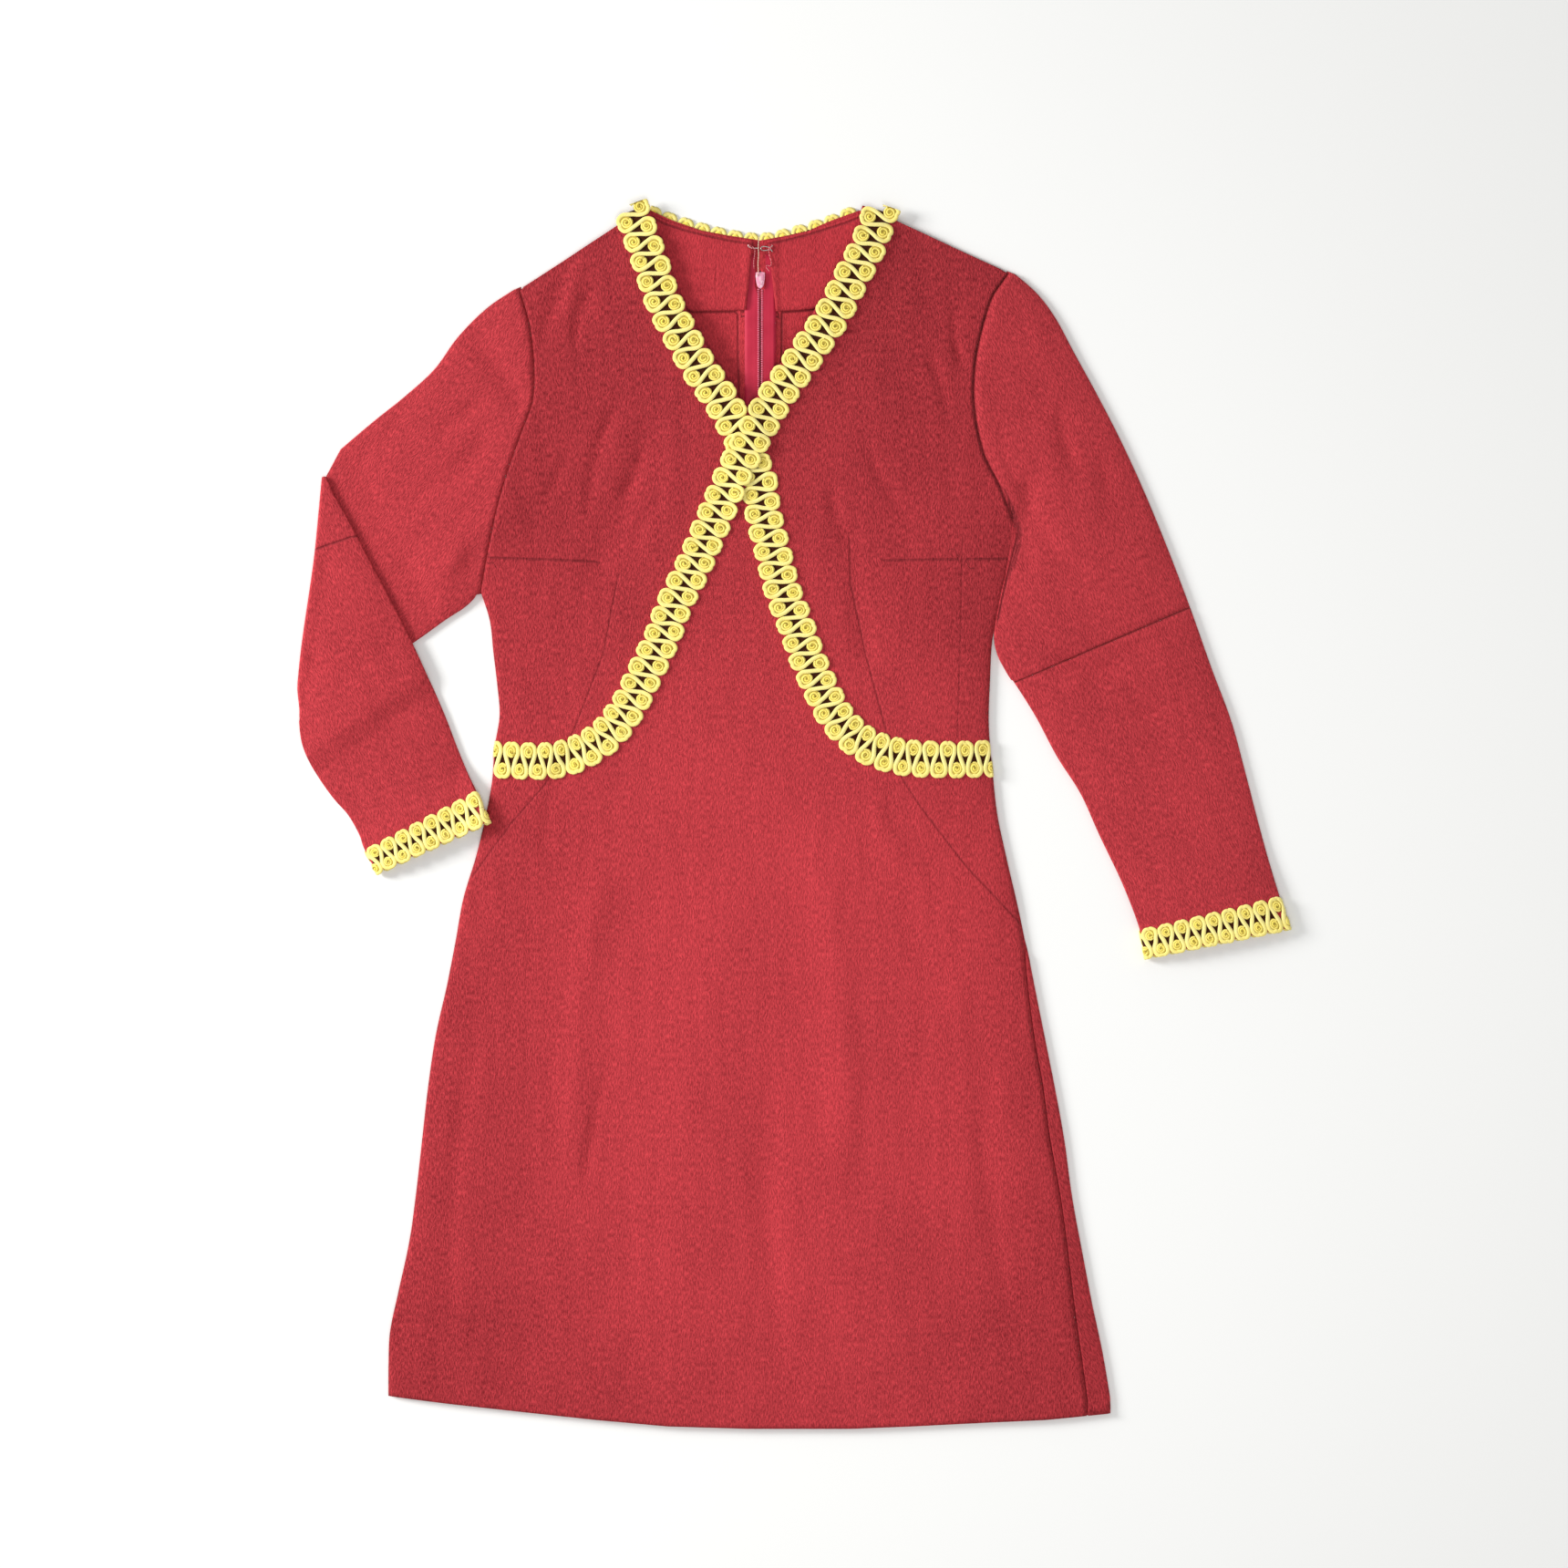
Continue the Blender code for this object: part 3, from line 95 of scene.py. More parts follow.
SIDE_TURNS_FROM = -80    # below this the right back comes round onto the front
SEAM_GAP = 0.5           # each side of the seam there


def share_of(low, high, value):
    """How far a value has come from low to high, with a soft start and end."""
    share = np.clip((value - low) / (high - low), 0.0, 1.0)
    return share * share * (3.0 - 2.0 * share)


def distance(x, y, path):
    """Distance in the plane from places to a path of straight stretches."""
    nearest = np.full(np.shape(x), 1e9)
    for (x0, y0), (x1, y1) in zip(path, path[1:]):
        dx, dy = x1 - x0, y1 - y0
        along = np.clip(((x - x0) * dx + (y - y0) * dy) / (dx * dx + dy * dy), 0.0, 1.0)
        nearest = np.minimum(nearest, np.hypot(x - x0 - along * dx, y - y0 - along * dy))
    return nearest


def unit(way):
    """Directions, each made one long."""
    return way / np.linalg.norm(way, axis=-1, keepdims=True)


def edge_at(path, y):
    """Where an outline that runs down the dress has its x at each height y."""
    ys = np.array([p[1] for p in path], float)[::-1]
    xs = np.array([p[0] for p in path], float)[::-1]
    slope = np.gradient(xs, ys)
    k = np.clip(np.searchsorted(ys, y) - 1, 0, len(ys) - 2)
    span = ys[k + 1] - ys[k]
    t = np.clip((y - ys[k]) / span, 0.0, 1.0)
    return ((1 + 2 * t) * (1 - t) ** 2 * xs[k] + t * (1 - t) ** 2 * span * slope[k]
            + t * t * (3 - 2 * t) * xs[k + 1] + t * t * (t - 1) * span * slope[k + 1])


def back_mid(x, y):
    """The backs lie flat, but over the neck braid and the zip's pull beneath them."""
    over_braid = 1.6 * (1.0 - share_of(48.0, 82.0, distance(x, y, BACK_NECK)))
    over_pull = 1.55 * (1.0 - share_of(11.0, 25.0, np.abs(x - ZIP_X))) * share_of(330.0, 370.0, y)
    return BACK_MID + np.maximum(over_braid, over_pull)


def hem_curve(x, y):
    """Lets the lowest rows of a panel follow the bowed hem."""
    hem_x = np.array([p[0] for p in HEM], float)
    hem_y = np.array([p[1] for p in HEM], float)
    drop = (np.interp(x, hem_x, hem_y) - HEM_BENDS_FROM) / (HEM_LOWEST - HEM_BENDS_FROM)
    return np.where(y < HEM_BENDS_FROM, HEM_BENDS_FROM + (y - HEM_BENDS_FROM) * drop, y)


def linear(colour):
    """An sRGB hex colour as Blender's linear RGBA."""
    parts = [int(colour[i:i + 2], 16) / 255 for i in (1, 3, 5)]
    return [c / 12.92 if c <= 0.04045 else ((c + 0.055) / 1.055) ** 2.4 for c in parts] + [1.0]


def new_material(name):
    """A new material, with its node tree and its shader."""
    made = bpy.data.materials.new(name)
    made.use_nodes = True
    return made, made.node_tree, made.node_tree.nodes["Principled BSDF"]


def fill(tree, made, inputs):
    """Sets a node's inputs, each from a value, a node or one of a node's outputs."""
    for name, value in inputs.items():
        if isinstance(value, bpy.types.Node):
            value = next(output for output in value.outputs if output.enabled)
        if isinstance(value, bpy.types.NodeSocket):
            tree.links.new(value, made.inputs[name])
        else:
            made.inputs[name].default_value = value


def node(tree, kind, inputs=None, **settings):
    """Adds a node to a material with its settings, values and links."""
    made = tree.nodes.new("ShaderNode" + kind)
    for name, value in settings.items():
        setattr(made, name, value)
    fill(tree, made, inputs or {})
    return made


def maths(tree, operation, *values):
    """Adds one step of arithmetic on values or nodes."""
    return node(tree, "Math", dict(enumerate(values)), operation=operation)


def ramp(tree, value, low, high, first=0.0, last=1.0, **settings):
    """Carries the values from low to high over to those from first to last."""
    return node(tree, "MapRange", {"Value": value, "From Min": low, "From Max": high,
                                   "To Min": first, "To Max": last}, **settings)


def blend(tree, share, first, second):
    """Mixes two colours, each an sRGB hex colour or a node."""
    first, second = (linear(c) if isinstance(c, str) else c for c in (first, second))
    return node(tree, "Mix", {"Factor": share, "A": first, "B": second}, data_type="RGBA")


# Crepe double knit, or bark crepe: high-twist yarn that shrinks into lengthwise
# puckers. To the eye it is matt, with short wavering streaks and a faint bloom.
PUCKER_WIDE = 0.00098
PUCKER_LONG = 0.0038
SEAM_HALF = 0.85     # mm to each side over which a seam sinks into the cloth


def crepe(name, deep, light, relief, patch, fade):
    """A crepe whose puckers run down the cloth, from its grain in metres.

    relief is the height of the puckers in metres, patch is how much they show in the
    colour, and fade shifts the tone in the middle of the skirt and far from it; where its
    two values differ, that is a painted pool of light on the skirt.
    """
    cloth, tree, shader = new_material(name)
    grain = node(tree, "UVMap", uv_map="grain")
    drift = node(tree, "TexNoise", {"Vector": grain, "Scale": 90.0, "Detail": 1.0})
    moved = node(tree, "VectorMath", {0: drift.outputs["Color"], 1: (0.5, 0.5, 0.5)},
                 operation="SUBTRACT")
    scaled = node(tree, "VectorMath", {0: moved, 1: (0.005, 0.002, 0.0)}, operation="MULTIPLY")
    wander = node(tree, "VectorMath", {0: grain, 1: scaled}, operation="ADD")
    stretched = node(tree, "Mapping", {
        "Vector": wander, "Scale": (1.0 / PUCKER_WIDE, 1.0 / PUCKER_LONG, 1.0)})
    streak = node(tree, "TexNoise", {
        "Vector": stretched, "Scale": 1.0, "Detail": 3.0, "Roughness": 0.6})
    pucker = ramp(tree, streak, 0.36, 0.62)
    fine = node(tree, "TexNoise", {"Vector": grain, "Scale": 1100.0, "Detail": 1.0})
    # Wider bands run down the cloth, where the puckers crowd together or open.
    band_place = node(tree, "Mapping", {"Vector": wander, "Scale": (85.0, 16.0, 1.0)})
    bands = node(tree, "TexNoise", {"Vector": band_place, "Scale": 1.0, "Detail": 2.0})
    broad = node(tree, "TexNoise", {"Vector": grain, "Scale": 9.0, "Detail": 2.0})
    speckle = node(tree, "Mix", {"Factor": 0.35, "A": pucker, "B": fine}, data_type="FLOAT")
    tone = maths(tree, "MULTIPLY_ADD", speckle, patch, 0.57 - 0.52 * patch)
    banded = maths(tree, "MULTIPLY_ADD", bands, 0.24, tone)
    worn = maths(tree, "MULTIPLY_ADD", broad, 0.30, banded)
    # Painted pool of light: the tone is lighter round the middle of the skirt
    # and darker far from it.
    place = node(tree, "TexCoord").outputs["Object"]
    spot = node(tree, "VectorMath", {0: place, 1: (-0.02, -0.17, 0.0)}, operation="SUBTRACT")
    squashed = node(tree, "VectorMath", {0: spot, 1: (1.7, 1.0, 0.0)}, operation="MULTIPLY")
    reach = node(tree, "VectorMath", {0: squashed}, operation="LENGTH")
    light_pool_tone = ramp(tree, reach, 0.12, 0.62, *fade, interpolation_type="SMOOTHSTEP")
    colour = blend(tree, maths(tree, "ADD", worn, light_pool_tone), deep, light)
    # Seams: the seam map holds the distance to the nearest seam in mm and its depth.
    seam = node(tree, "SeparateXYZ", {"Vector": node(tree, "UVMap", uv_map="seam")})
    near = maths(tree, "DIVIDE", seam.outputs["X"], SEAM_HALF)
    fall = maths(tree, "POWER", 0.37, maths(tree, "MULTIPLY", near, near))
    groove = maths(tree, "MULTIPLY", fall, seam.outputs["Y"])
    # Painted shade: along each seam line the colour darkens towards #4A0B12, as in its groove.
    painted_seam_shade = blend(tree, maths(tree, "MULTIPLY", groove, 0.55), colour, "#4A0B12")
    swell = maths(tree, "MULTIPLY_ADD", bands, 2.4, speckle)
    height = maths(tree, "MULTIPLY_ADD", groove, -2.2, swell)
    bump = node(tree, "Bump", {"Height": height, "Strength": 0.9, "Distance": relief})
    fill(tree, shader, {
        "Base Color": painted_seam_shade, "Normal": bump, "Roughness": 0.86, "Specular IOR Level": 0.25,
        "Sheen Weight": 0.08, "Sheen Roughness": 0.5, "Sheen Tint": linear("#F08A80")})
    return cloth


crepe_right_side = crepe("crepe_right_side", "#74101A", "#D03E46", 0.00065, 0.95, (-0.12, -0.46))
crepe_wrong_side = crepe("crepe_wrong_side", "#7C131E", "#CC3942", 0.00060, 0.85, (-0.16, -0.16))
# The sleeves' copy has one even tone, without the painted pool of light.
crepe_sleeve = crepe("crepe_sleeve", "#74101A", "#D03F47", 0.00065, 0.95, (-0.22, -0.22))


def in_scene(name, data):
    """A new object from a mesh or a curve, chosen alone for what is done to it next."""
    made = bpy.data.objects.new(name, data)
    bpy.context.scene.collection.objects.link(made)
    bpy.ops.object.select_all(action="DESELECT")
    bpy.context.view_layer.objects.active = made
    made.select_set(True)
    return made


def grid_faces(rows, across, ring=False):
    """Four-sided faces over rows of points; in a ring each row closes on itself."""
    r, c = np.divmod(np.arange((rows - 1) * (across - (not ring))), across - (not ring))
    d = (c + 1) % across
    r, below = r * across, (r + 1) * across
    return np.stack([r + c, below + c, below + d, r + d], -1)


def cloth_shell(name, panels, ring=False, inside=None, thickness=CLOTH, turned=False):
    """A thin shell of cloth over grids of points in mm, with its grain and its seams.

    Each panel is a grid, its grain and its seam map; panels that share an edge are
    sewn there. A ring grid closes round a tube. inside picks the faces that show the
    wrong side: 'up' on a piece that lies face down, 'in' inside a tube. turned is for
    a tube whose rings run the other way round.
    """
    points, faces, grains, seams = [], [], [], []
    first = 0
    for grid, grain, seam in panels:
        rows, across = grid.shape[:2]
        points.append((grid.reshape(-1, 3) - (*MIDDLE, 0.0)) * MM)
        quads = grid_faces(rows, across, ring)
        corners = [(0, 0), (1, 0), (1, 1), (0, 1)]
        if turned:
            quads, corners = quads[:, ::-1], corners[::-1]
        faces += (quads + first).tolist()
        r, c = np.divmod(np.arange(len(quads)), across if ring else across - 1)
        for table, store in ((grain, grains), (seam, seams)):
            store.append(np.stack([table[r + down, c + side] for down, side in corners], 1))
        first += rows * across
    mesh = bpy.data.meshes.new(name)
    mesh.from_pydata(np.concatenate(points), [], faces)
    for title, parts in (("grain", grains), ("seam", seams)):
        layer = mesh.uv_layers.new(name=title)
        layer.data.foreach_set("uv", np.concatenate(parts).astype(np.float32).ravel())
    mesh.materials.append(crepe_right_side)
    mesh.materials.append(crepe_wrong_side)
    shell = in_scene(name, mesh)
    bpy.ops.object.mode_set(mode="EDIT")
    bpy.ops.mesh.select_all(action="SELECT")
    bpy.ops.mesh.remove_doubles(threshold=0.00002)
    bpy.ops.object.mode_set(mode="OBJECT")
    mesh.shade_smooth()
    count = len(mesh.polygons)
    wall = shell.modifiers.new("wall", "SOLIDIFY")
    wall.thickness = thickness * MM
    wall.offset = 0.0
    bpy.ops.object.modifier_apply(modifier="wall")
    marks = np.zeros(len(mesh.polygons), np.int32)
    if inside == "in":
        marks[count:] = 1
    if inside == "up":
        normals = np.empty(len(mesh.polygons) * 3, np.float32)
        mesh.polygons.foreach_get("normal", normals)
        marks[normals[2::3] > 0.2] = 1
    mesh.polygons.foreach_set("material_index", marks)
    return shell


def seam_map(x, y, lines):
    """Distance to the nearest of some seam lines, and the seam's depth there.

    The distance changes its sign across the line, so that it is nought on the line
    itself wherever the line runs between points of the grid.
    """
    far = np.full(x.shape, 40.0)
    depth = np.zeros(x.shape)
    for strength, path in lines:
        for k, ((x0, y0), (x1, y1)) in enumerate(zip(path, path[1:])):
            dx, dy = x1 - x0, y1 - y0
            long = math.hypot(dx, dy)
            along = ((x - x0) * dx + (y - y0) * dy) / long
            off = ((x - x0) * dy - (y - y0) * dx) / long
            past = np.maximum(0.0, np.maximum(-along, along - long))
            gap = np.hypot(off, past)
            closer = gap < np.abs(far)
            far = np.where(closer, np.where(off < 0, -gap, gap), far)
            end = (along < 0) & (k == 0) | (along > long) & (k == len(path) - 2)
            fade = strength * (1.0 - share_of(6.0, 9.0, gap))
            fade = fade * np.where(end, 1.0 - share_of(0.0, 4.0, past), 1.0)
            depth = np.where(closer, fade, depth)
    return np.stack([far, depth], -1)


def panel(x, y, z, seams, unrolled=None):
    """One panel for cloth_shell, its grain straight down the dress.

    unrolled is its x where the cloth bends round an edge, as if it lay flat.
    """
    grain = np.stack([x if unrolled is None else unrolled, y], -1) * MM
    return np.stack([x, y, z], -1), grain, seam_map(x, y, seams)


def spaced(high, low, step):
    """Places from high down to low, about a step apart."""
    return np.linspace(high, low, max(2, round(abs(high - low) / step) + 1))


# Where the upper layers lie: puffed up a little by the cloth below, flat at each
# outline, standing off the back round the neck, and with the dress's large folds.
STRAIGHT_SLEEVE = np.array((
    # outer x, outer y, underarm x, underarm y, share of the armhole's curve
    (173.5, 434, 182, 226, 1.0), (194, 416, 176.2, 213, 0.35), (209, 396, 170.8, 196, 0.2),
    (224, 368, 165.2, 171, 0.1), (242, 335, 161.2, 146, 0.05), (260, 300, 163.6, 130, 0),
    (278, 261, 170, 117, 0), (297, 215, 175, 109, 0), (316, 165, 178, 106, 0),
    (333, 117, 195, 79, 0), (349, 74, 212, 47, 0), (361, 30, 231, 17, 0),
    (369, -1, 246, -16, 0), (379, -38, 264, -54, 0), (387, -65, 278, -91, 0),
    (396, -93, 283, -116, 0)))
FOLDED_UPPER = np.array((
    (-220, 421, -253.5, 178, 1.0), (-245, 404, -257, 173, 0.7), (-268, 381, -265, 166, 0.45),
    (-287, 355, -279, 157, 0.22), (-311, 333, -297, 144, 0.08), (-336, 313, -322, 127, 0),
    (-362, 291, -354, 105, 0)))
FOLD_LINE = ((-377.5, 269), (-395.4, 78))
FOREARM = np.array((
    # inner x, inner y, outer x, outer y
    (-368, 255, -394.4, 74.5), (-356, 234, -393.6, 66), (-340, 203, -391.8, 57),
    (-322, 169, -388.4, 48), (-306, 137, -383, 37), (-292, 106, -375, 24.5),
    (-280, 78, -366, 12.5), (-270, 52, -355, 0), (-262, 33, -346, -16),
    (-255, 19, -342, -27), (-243, -8, -331, -48)))
UPPER_UNDER_EDGE = [tuple(row[2:4]) for row in FOLDED_UPPER] + [FOLD_LINE[1]]
FOREARM_EDGE = [FOLD_LINE[0]] + [tuple(row[:2]) for row in FOREARM]
OUTLINES = (
    LEFT_SIDE, RIGHT_SIDE, LEFT_SHOULDER, RIGHT_SHOULDER,
    [tuple(row[:2]) for row in STRAIGHT_SLEEVE], [tuple(row[2:4]) for row in STRAIGHT_SLEEVE],
    [tuple(row[:2]) for row in FOLDED_UPPER] + [FOLD_LINE[0]], UPPER_UNDER_EDGE)
FOLDS = (
    # x0, y0, x1, y1, half width, height
    (-256, 382, -219, 331, 9, -2.0), (-182, 443, -199, 386, 6, -1.4),
    (-117, 302, -154, 200, 13, -1.4), (45, 222, 58, 127, 10, -1.2), (188, 262, 186, 203, 9, -2.2),
    (204, 116, 255, 108, 6, -1.4), (-227, 243, -300, 190, 12, 1.4),
    (-250, 290, -320, 240, 10, -1.2), (-190, -20, -225, -430, 28, -1.0),
    (-60, -60, -95, -440, 34, 1.2), (92, -60, 118, -440, 30, -1.0))

CREASES = (
    # finer ones, soft at both ends: x0, y0, x1, y1, half width, height, bow
    (-140, 330, -165, 235, 5, -0.9, 6), (-122, 292, -140, 252, 4, -0.9, -4),
    (-105, 255, -128, 205, 5, -0.7, 5), (-180, 300, -205, 245, 5, -0.7, -5),
    (58, 300, 96, 232, 5, -0.7, 5), (30, 262, 44, 214, 4, -0.7, 3),
    (104, 372, 122, 318, 5, -0.9, -4), (-160, 420, -176, 372, 4, -0.9, 3),
    (128, 402, 137, 352, 4, -0.9, 3), (214, 330, 236, 268, 6, -1.1, 8),
    (236, 300, 250, 236, 5, -0.9, -6), (196, 236, 232, 190, 6, -1.3, 6),
    (206, 130, 262, 118, 4, -1.3, 4), (216, 104, 270, 96, 5, 0.9, -4),
    (232, 140, 288, 132, 5, -0.9, 3), (250, 82, 300, 84, 5, -0.7, 3),
    (-330, 300, -352, 268, 5, -0.9, 3), (-300, 336, -330, 290, 5, -0.9, 4),
    (-242, 330, -286, 300, 5, -0.9, 5), (-262, 214, -310, 172, 6, 1.1, -5),
    (-150, -40, -166, -300, 12, 0.9, 14), (20, -30, 34, -330, 13, 0.9, -12),
    (150, -150, 176, -430, 10, -0.9, 8), (-250, -150, -282, -440, 9, -0.9, 6),
    (172, 322, 228, 306, 5, -0.6, -6), (152, 300, 166, 266, 3, -0.5, 2),
    (165, 302, 181, 262, 3, -0.5, 3), (-147, -198, -170, -312, 3, -1.0, 3),
    (-171, 447, -188, 384, 5, 0.8, -2), (-20, -200, -8, -450, 12, -0.9, 8),
    (60, 20, 110, -60, 8, 0.7, 8), (-170, 60, -200, -40, 8, -0.7, 8))


def folds(x, y):
    """The large folds: troughs and ridges with soft sides, in mm."""
    total = np.zeros(np.shape(x))
    for x0, y0, x1, y1, half_width, height in FOLDS:
        total += height * np.exp(-(distance(x, y, ((x0, y0), (x1, y1))) / half_width) ** 2)
    return total


def creases(x, y):
    """The finer troughs and ridges, each one bowed a little and uneven along it."""
    total = np.zeros(np.shape(x))
    for k, (x0, y0, x1, y1, half_width, height, bow) in enumerate(CREASES):
        dx, dy = x1 - x0, y1 - y0
        long = math.hypot(dx, dy)
        along = ((x - x0) * dx + (y - y0) * dy) / long ** 2
        off = ((x - x0) * dy - (y - y0) * dx) / long - 4 * bow * along * (1 - along)
        ends = share_of(-0.12, 0.25, along) * (1.0 - share_of(0.7, 1.12, along))
        uneven = 1.0 + 0.25 * np.sin(along * 9.0 + k)
        total += height * ends * uneven * np.exp(-(off / half_width) ** 2)
    return total


NECK_STANDS = 5.9   # how far the neck edge stands off the back, but at the shoulders


def neck_rise(x, y):
    """How high the upper layer stands off the back round the neck."""
    away = np.maximum(0.0, distance(x, y, LEFT_NECK + RIGHT_NECK[-2::-1]) - 14.0)
    shoulder = np.minimum(distance(x, y, LEFT_SHOULDER), distance(x, y, RIGHT_SHOULDER))
    rise = NECK_STANDS * (0.56 + 0.44 * share_of(0.0, 26.0, shoulder))
    return rise * np.exp(-(away / 34.0) ** 2)


LOFT = 3.4         # how far the upper layer is puffed up, well away from its edges
LOFT_RUN = 16.0    # how fast it rises from an edge
FOLD_GAIN = 1.5    # the folds and creases stand so many times their listed heights
CREASE_GAIN = 2.1


def top_mid(x, y):
    """Middle of the upper layer of the dress."""
    full = np.where(y < 0, LOFT - 1.6 * share_of(380.0, 490.0, -y),
                    LOFT + 1.1 * share_of(0.0, 120.0, y))
    away = np.full(np.shape(x), 1e9)
    for path in OUTLINES:
        away = np.minimum(away, distance(x, y, path))
    pressed = np.maximum(0.0, distance(x, y, FOREARM_EDGE[:6]) - 26.0)
    away = np.where(x < -230.0, np.minimum(away, pressed), away)
    inside = 1.0 - np.exp(-away / LOFT_RUN)
    full = full + FOLD_GAIN * folds(x, y) + CREASE_GAIN * creases(x, y)
    loft = np.maximum(full * inside, 0.0)
    lofted = EDGE_TOP + np.cbrt(loft ** 3 + neck_rise(x, y) ** 3)
    return np.maximum(lofted, back_mid(x, y) + 2.0)


def back_gap(y):
    """Half of the gap at the centre back: closed, but for the place of the slider."""
    return 0.06 + 2.5 * share_of(419.5, 423, y) * (1.0 - share_of(431.5, 435.5, y))


def back_edges(y, armhole, side, shoulder, neck, turn):
    """Outer and inner edge of one back at each height; turn is -1 left of the zip."""
    tip = shoulder[0][1]
    outer = np.where(y >= armhole[-1][1], edge_at(armhole, np.minimum(y, tip)), edge_at(side, y))
    across = (y - tip) / (shoulder[1][1] - tip)
    outer = np.where(y > tip, shoulder[0][0] + (shoulder[1][0] - shoulder[0][0]) * across, outer)
    inner = np.where(y > 460, edge_at(neck, np.maximum(y, 460)), ZIP_X + turn * back_gap(y))
    return outer, inner


back_rows = np.concatenate([spaced(483.0, 380.0, 4.0), spaced(375.0, HEM_LOWEST, 7.0)])
BACK_COLUMNS = 120
across = 1.0 - (1.0 - np.linspace(0, 1, BACK_COLUMNS)[None, :]) ** 1.8
# A dark line down the slit between the backs: painted shade.
ZIP_SLIT_SHADE = (1.0, ((ZIP_X, 414), (ZIP_X, -20)))

def allowances(x, y):
    """The back seam's allowances, pressed open on both sides of the zip."""
    wide = share_of(-45.0, -43.4, x) * (1.0 - share_of(-10.6, -9.0, x))
    return 0.6 * wide * (1.0 - share_of(404.0, 408.0, y))


outer, inner = back_edges(back_rows, LEFT_ARMHOLE, LEFT_SIDE, LEFT_SHOULDER, BACK_NECK[:4], -1)
x = outer[:, None] + (inner - outer)[:, None] * across
y = hem_curve(x, back_rows[:, None] + 0 * x)
z = back_mid(x, y) + allowances(x, y)
# Its seam lines are painted shade: at the allowances' edges, the slit and the facing's edge.
left_back = cloth_shell("left_back", [panel(x, y, z, (
    (1.0, ((-44.2, 402), (-43.6, 200))), ZIP_SLIT_SHADE,
    (1.0, ((-98, 411), (-82, 402.2), (-60, 402.2), (-38, 402.6)))))], inside="up")

# Below the hip the right back turns over the edge, up to the seam on the front.
EDGE_ROUND = 0.85   # how far a turned edge of cloth bulges out
outer, inner = back_edges(
    back_rows, RIGHT_ARMHOLE, RIGHT_SIDE, RIGHT_SHOULDER, BACK_NECK[:2:-1], 1)
seam_x = edge_at(SIDE_SEAM, np.minimum(back_rows, 225)) + SEAM_GAP
width = np.where(back_rows < SIDE_TURNS_FROM, outer - seam_x, 0.0)
bend = EDGE_ROUND * (width > 2.0)   # rows with less than 2 mm on the front don't turn
x = inner[:, None] + (outer - bend - inner)[:, None] * across
z = back_mid(x, back_rows[:, None]) + allowances(x, back_rows[:, None])
turn = np.radians(np.linspace(-60, 90, 6))[None, :]
turned_x = (outer - bend)[:, None] + bend[:, None] * np.cos(turn)
turned_z = BACK_MID + bend[:, None] * (1 + np.sin(turn))
over = np.linspace(0.08, 1.0, 12)[None, :]
over_x = (outer - bend)[:, None] - np.maximum(width - bend, 0.0)[:, None] * over
over_z = top_mid(over_x, back_rows[:, None] + 0 * over_x)
over_z = np.where((width > 2.0)[:, None], over_z, BACK_MID)
x = np.concatenate([x, turned_x, over_x], 1)
z = np.concatenate([z, turned_z, over_z], 1)
y = hem_curve(x, back_rows[:, None] + 0 * x)
unrolled = np.concatenate(
    [x[:, :BACK_COLUMNS], outer[:, None] + 0 * turned_x, 2 * outer[:, None] - over_x], 1)
# Its seam lines are painted shade too, as on the left back.
right_back = cloth_shell("right_back", [panel(x, y, z, (
    (1.0, ((-9.4, 402), (-9.8, 200))), ZIP_SLIT_SHADE,
    (1.0, ((36, 411), (20, 404.2), (3, 402.7), (-14, 401.8)))), unrolled)], inside="up")
# Its strip on the front shows the right side.
for face in right_back.data.polygons:
    if face.center.y < -0.06 and face.center.z > 0.0019:
        face.material_index = 0
zip_x = (ZIP_X - MIDDLE[0]) * MM
BESIDE_ZIP = 0.008
for shell, solid in ((left_back, "back_left"), (right_back, "back_right")):
    # The grooves and painted shade at the allowances' edges and under the facing's
    # lower edge show on the inside only.
    seams = shell.data.uv_layers["seam"].data
    for face in shell.data.polygons:
        if face.material_index == 0 and abs(face.center.x - zip_x) > BESIDE_ZIP:
            for corner in face.loop_indices:
                seams[corner].uv.y = 0.0
    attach(shell, "dress")
    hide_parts(solid)


# The zip
# A nylon-coil dress zip sewn under the back seam, seen from inside: two crimson
# woven tapes with the coil's halves along them, and an enamelled slider and pull.
SLIDER_Y = 427.0


def woven_tape():
    """Plain-woven polyester tape: close ribs along it, a soft sheen, no puckers."""
    cloth, tree, shader = new_material("woven_polyester_tape")
    grain = node(tree, "UVMap", uv_map="grain")
    # Ribs of 0.5 mm are drawn 0.9 mm wide, or the render would lose them.
    ribs = node(tree, "TexWave", {
        "Vector": grain, "Scale": 2 * math.pi / 0.0009 / 20.0, "Distortion": 0.6,
        "Detail": 1.0}, wave_type="BANDS", bands_direction="X")
    picks = node(tree, "TexWave", {
        "Vector": grain, "Scale": 2 * math.pi / 0.0007 / 20.0, "Distortion": 0.5},
        wave_type="BANDS", bands_direction="Y")
    weave = node(tree, "Mix", {
        "Factor": 0.4, "A": ribs.outputs["Fac"], "B": picks.outputs["Fac"]}, data_type="FLOAT")
    wear = node(tree, "TexNoise", {"Vector": grain, "Scale": 60.0, "Detail": 3.0})
    colour = blend(tree, maths(tree, "MULTIPLY", weave, wear), "#AA0E30", "#EA3E5C")
    bump = node(tree, "Bump", {"Height": weave, "Strength": 0.5, "Distance": 0.0002})
    fill(tree, shader, {
        "Base Color": colour, "Normal": bump, "Roughness": 0.6, "Specular IOR Level": 0.3})
    return cloth


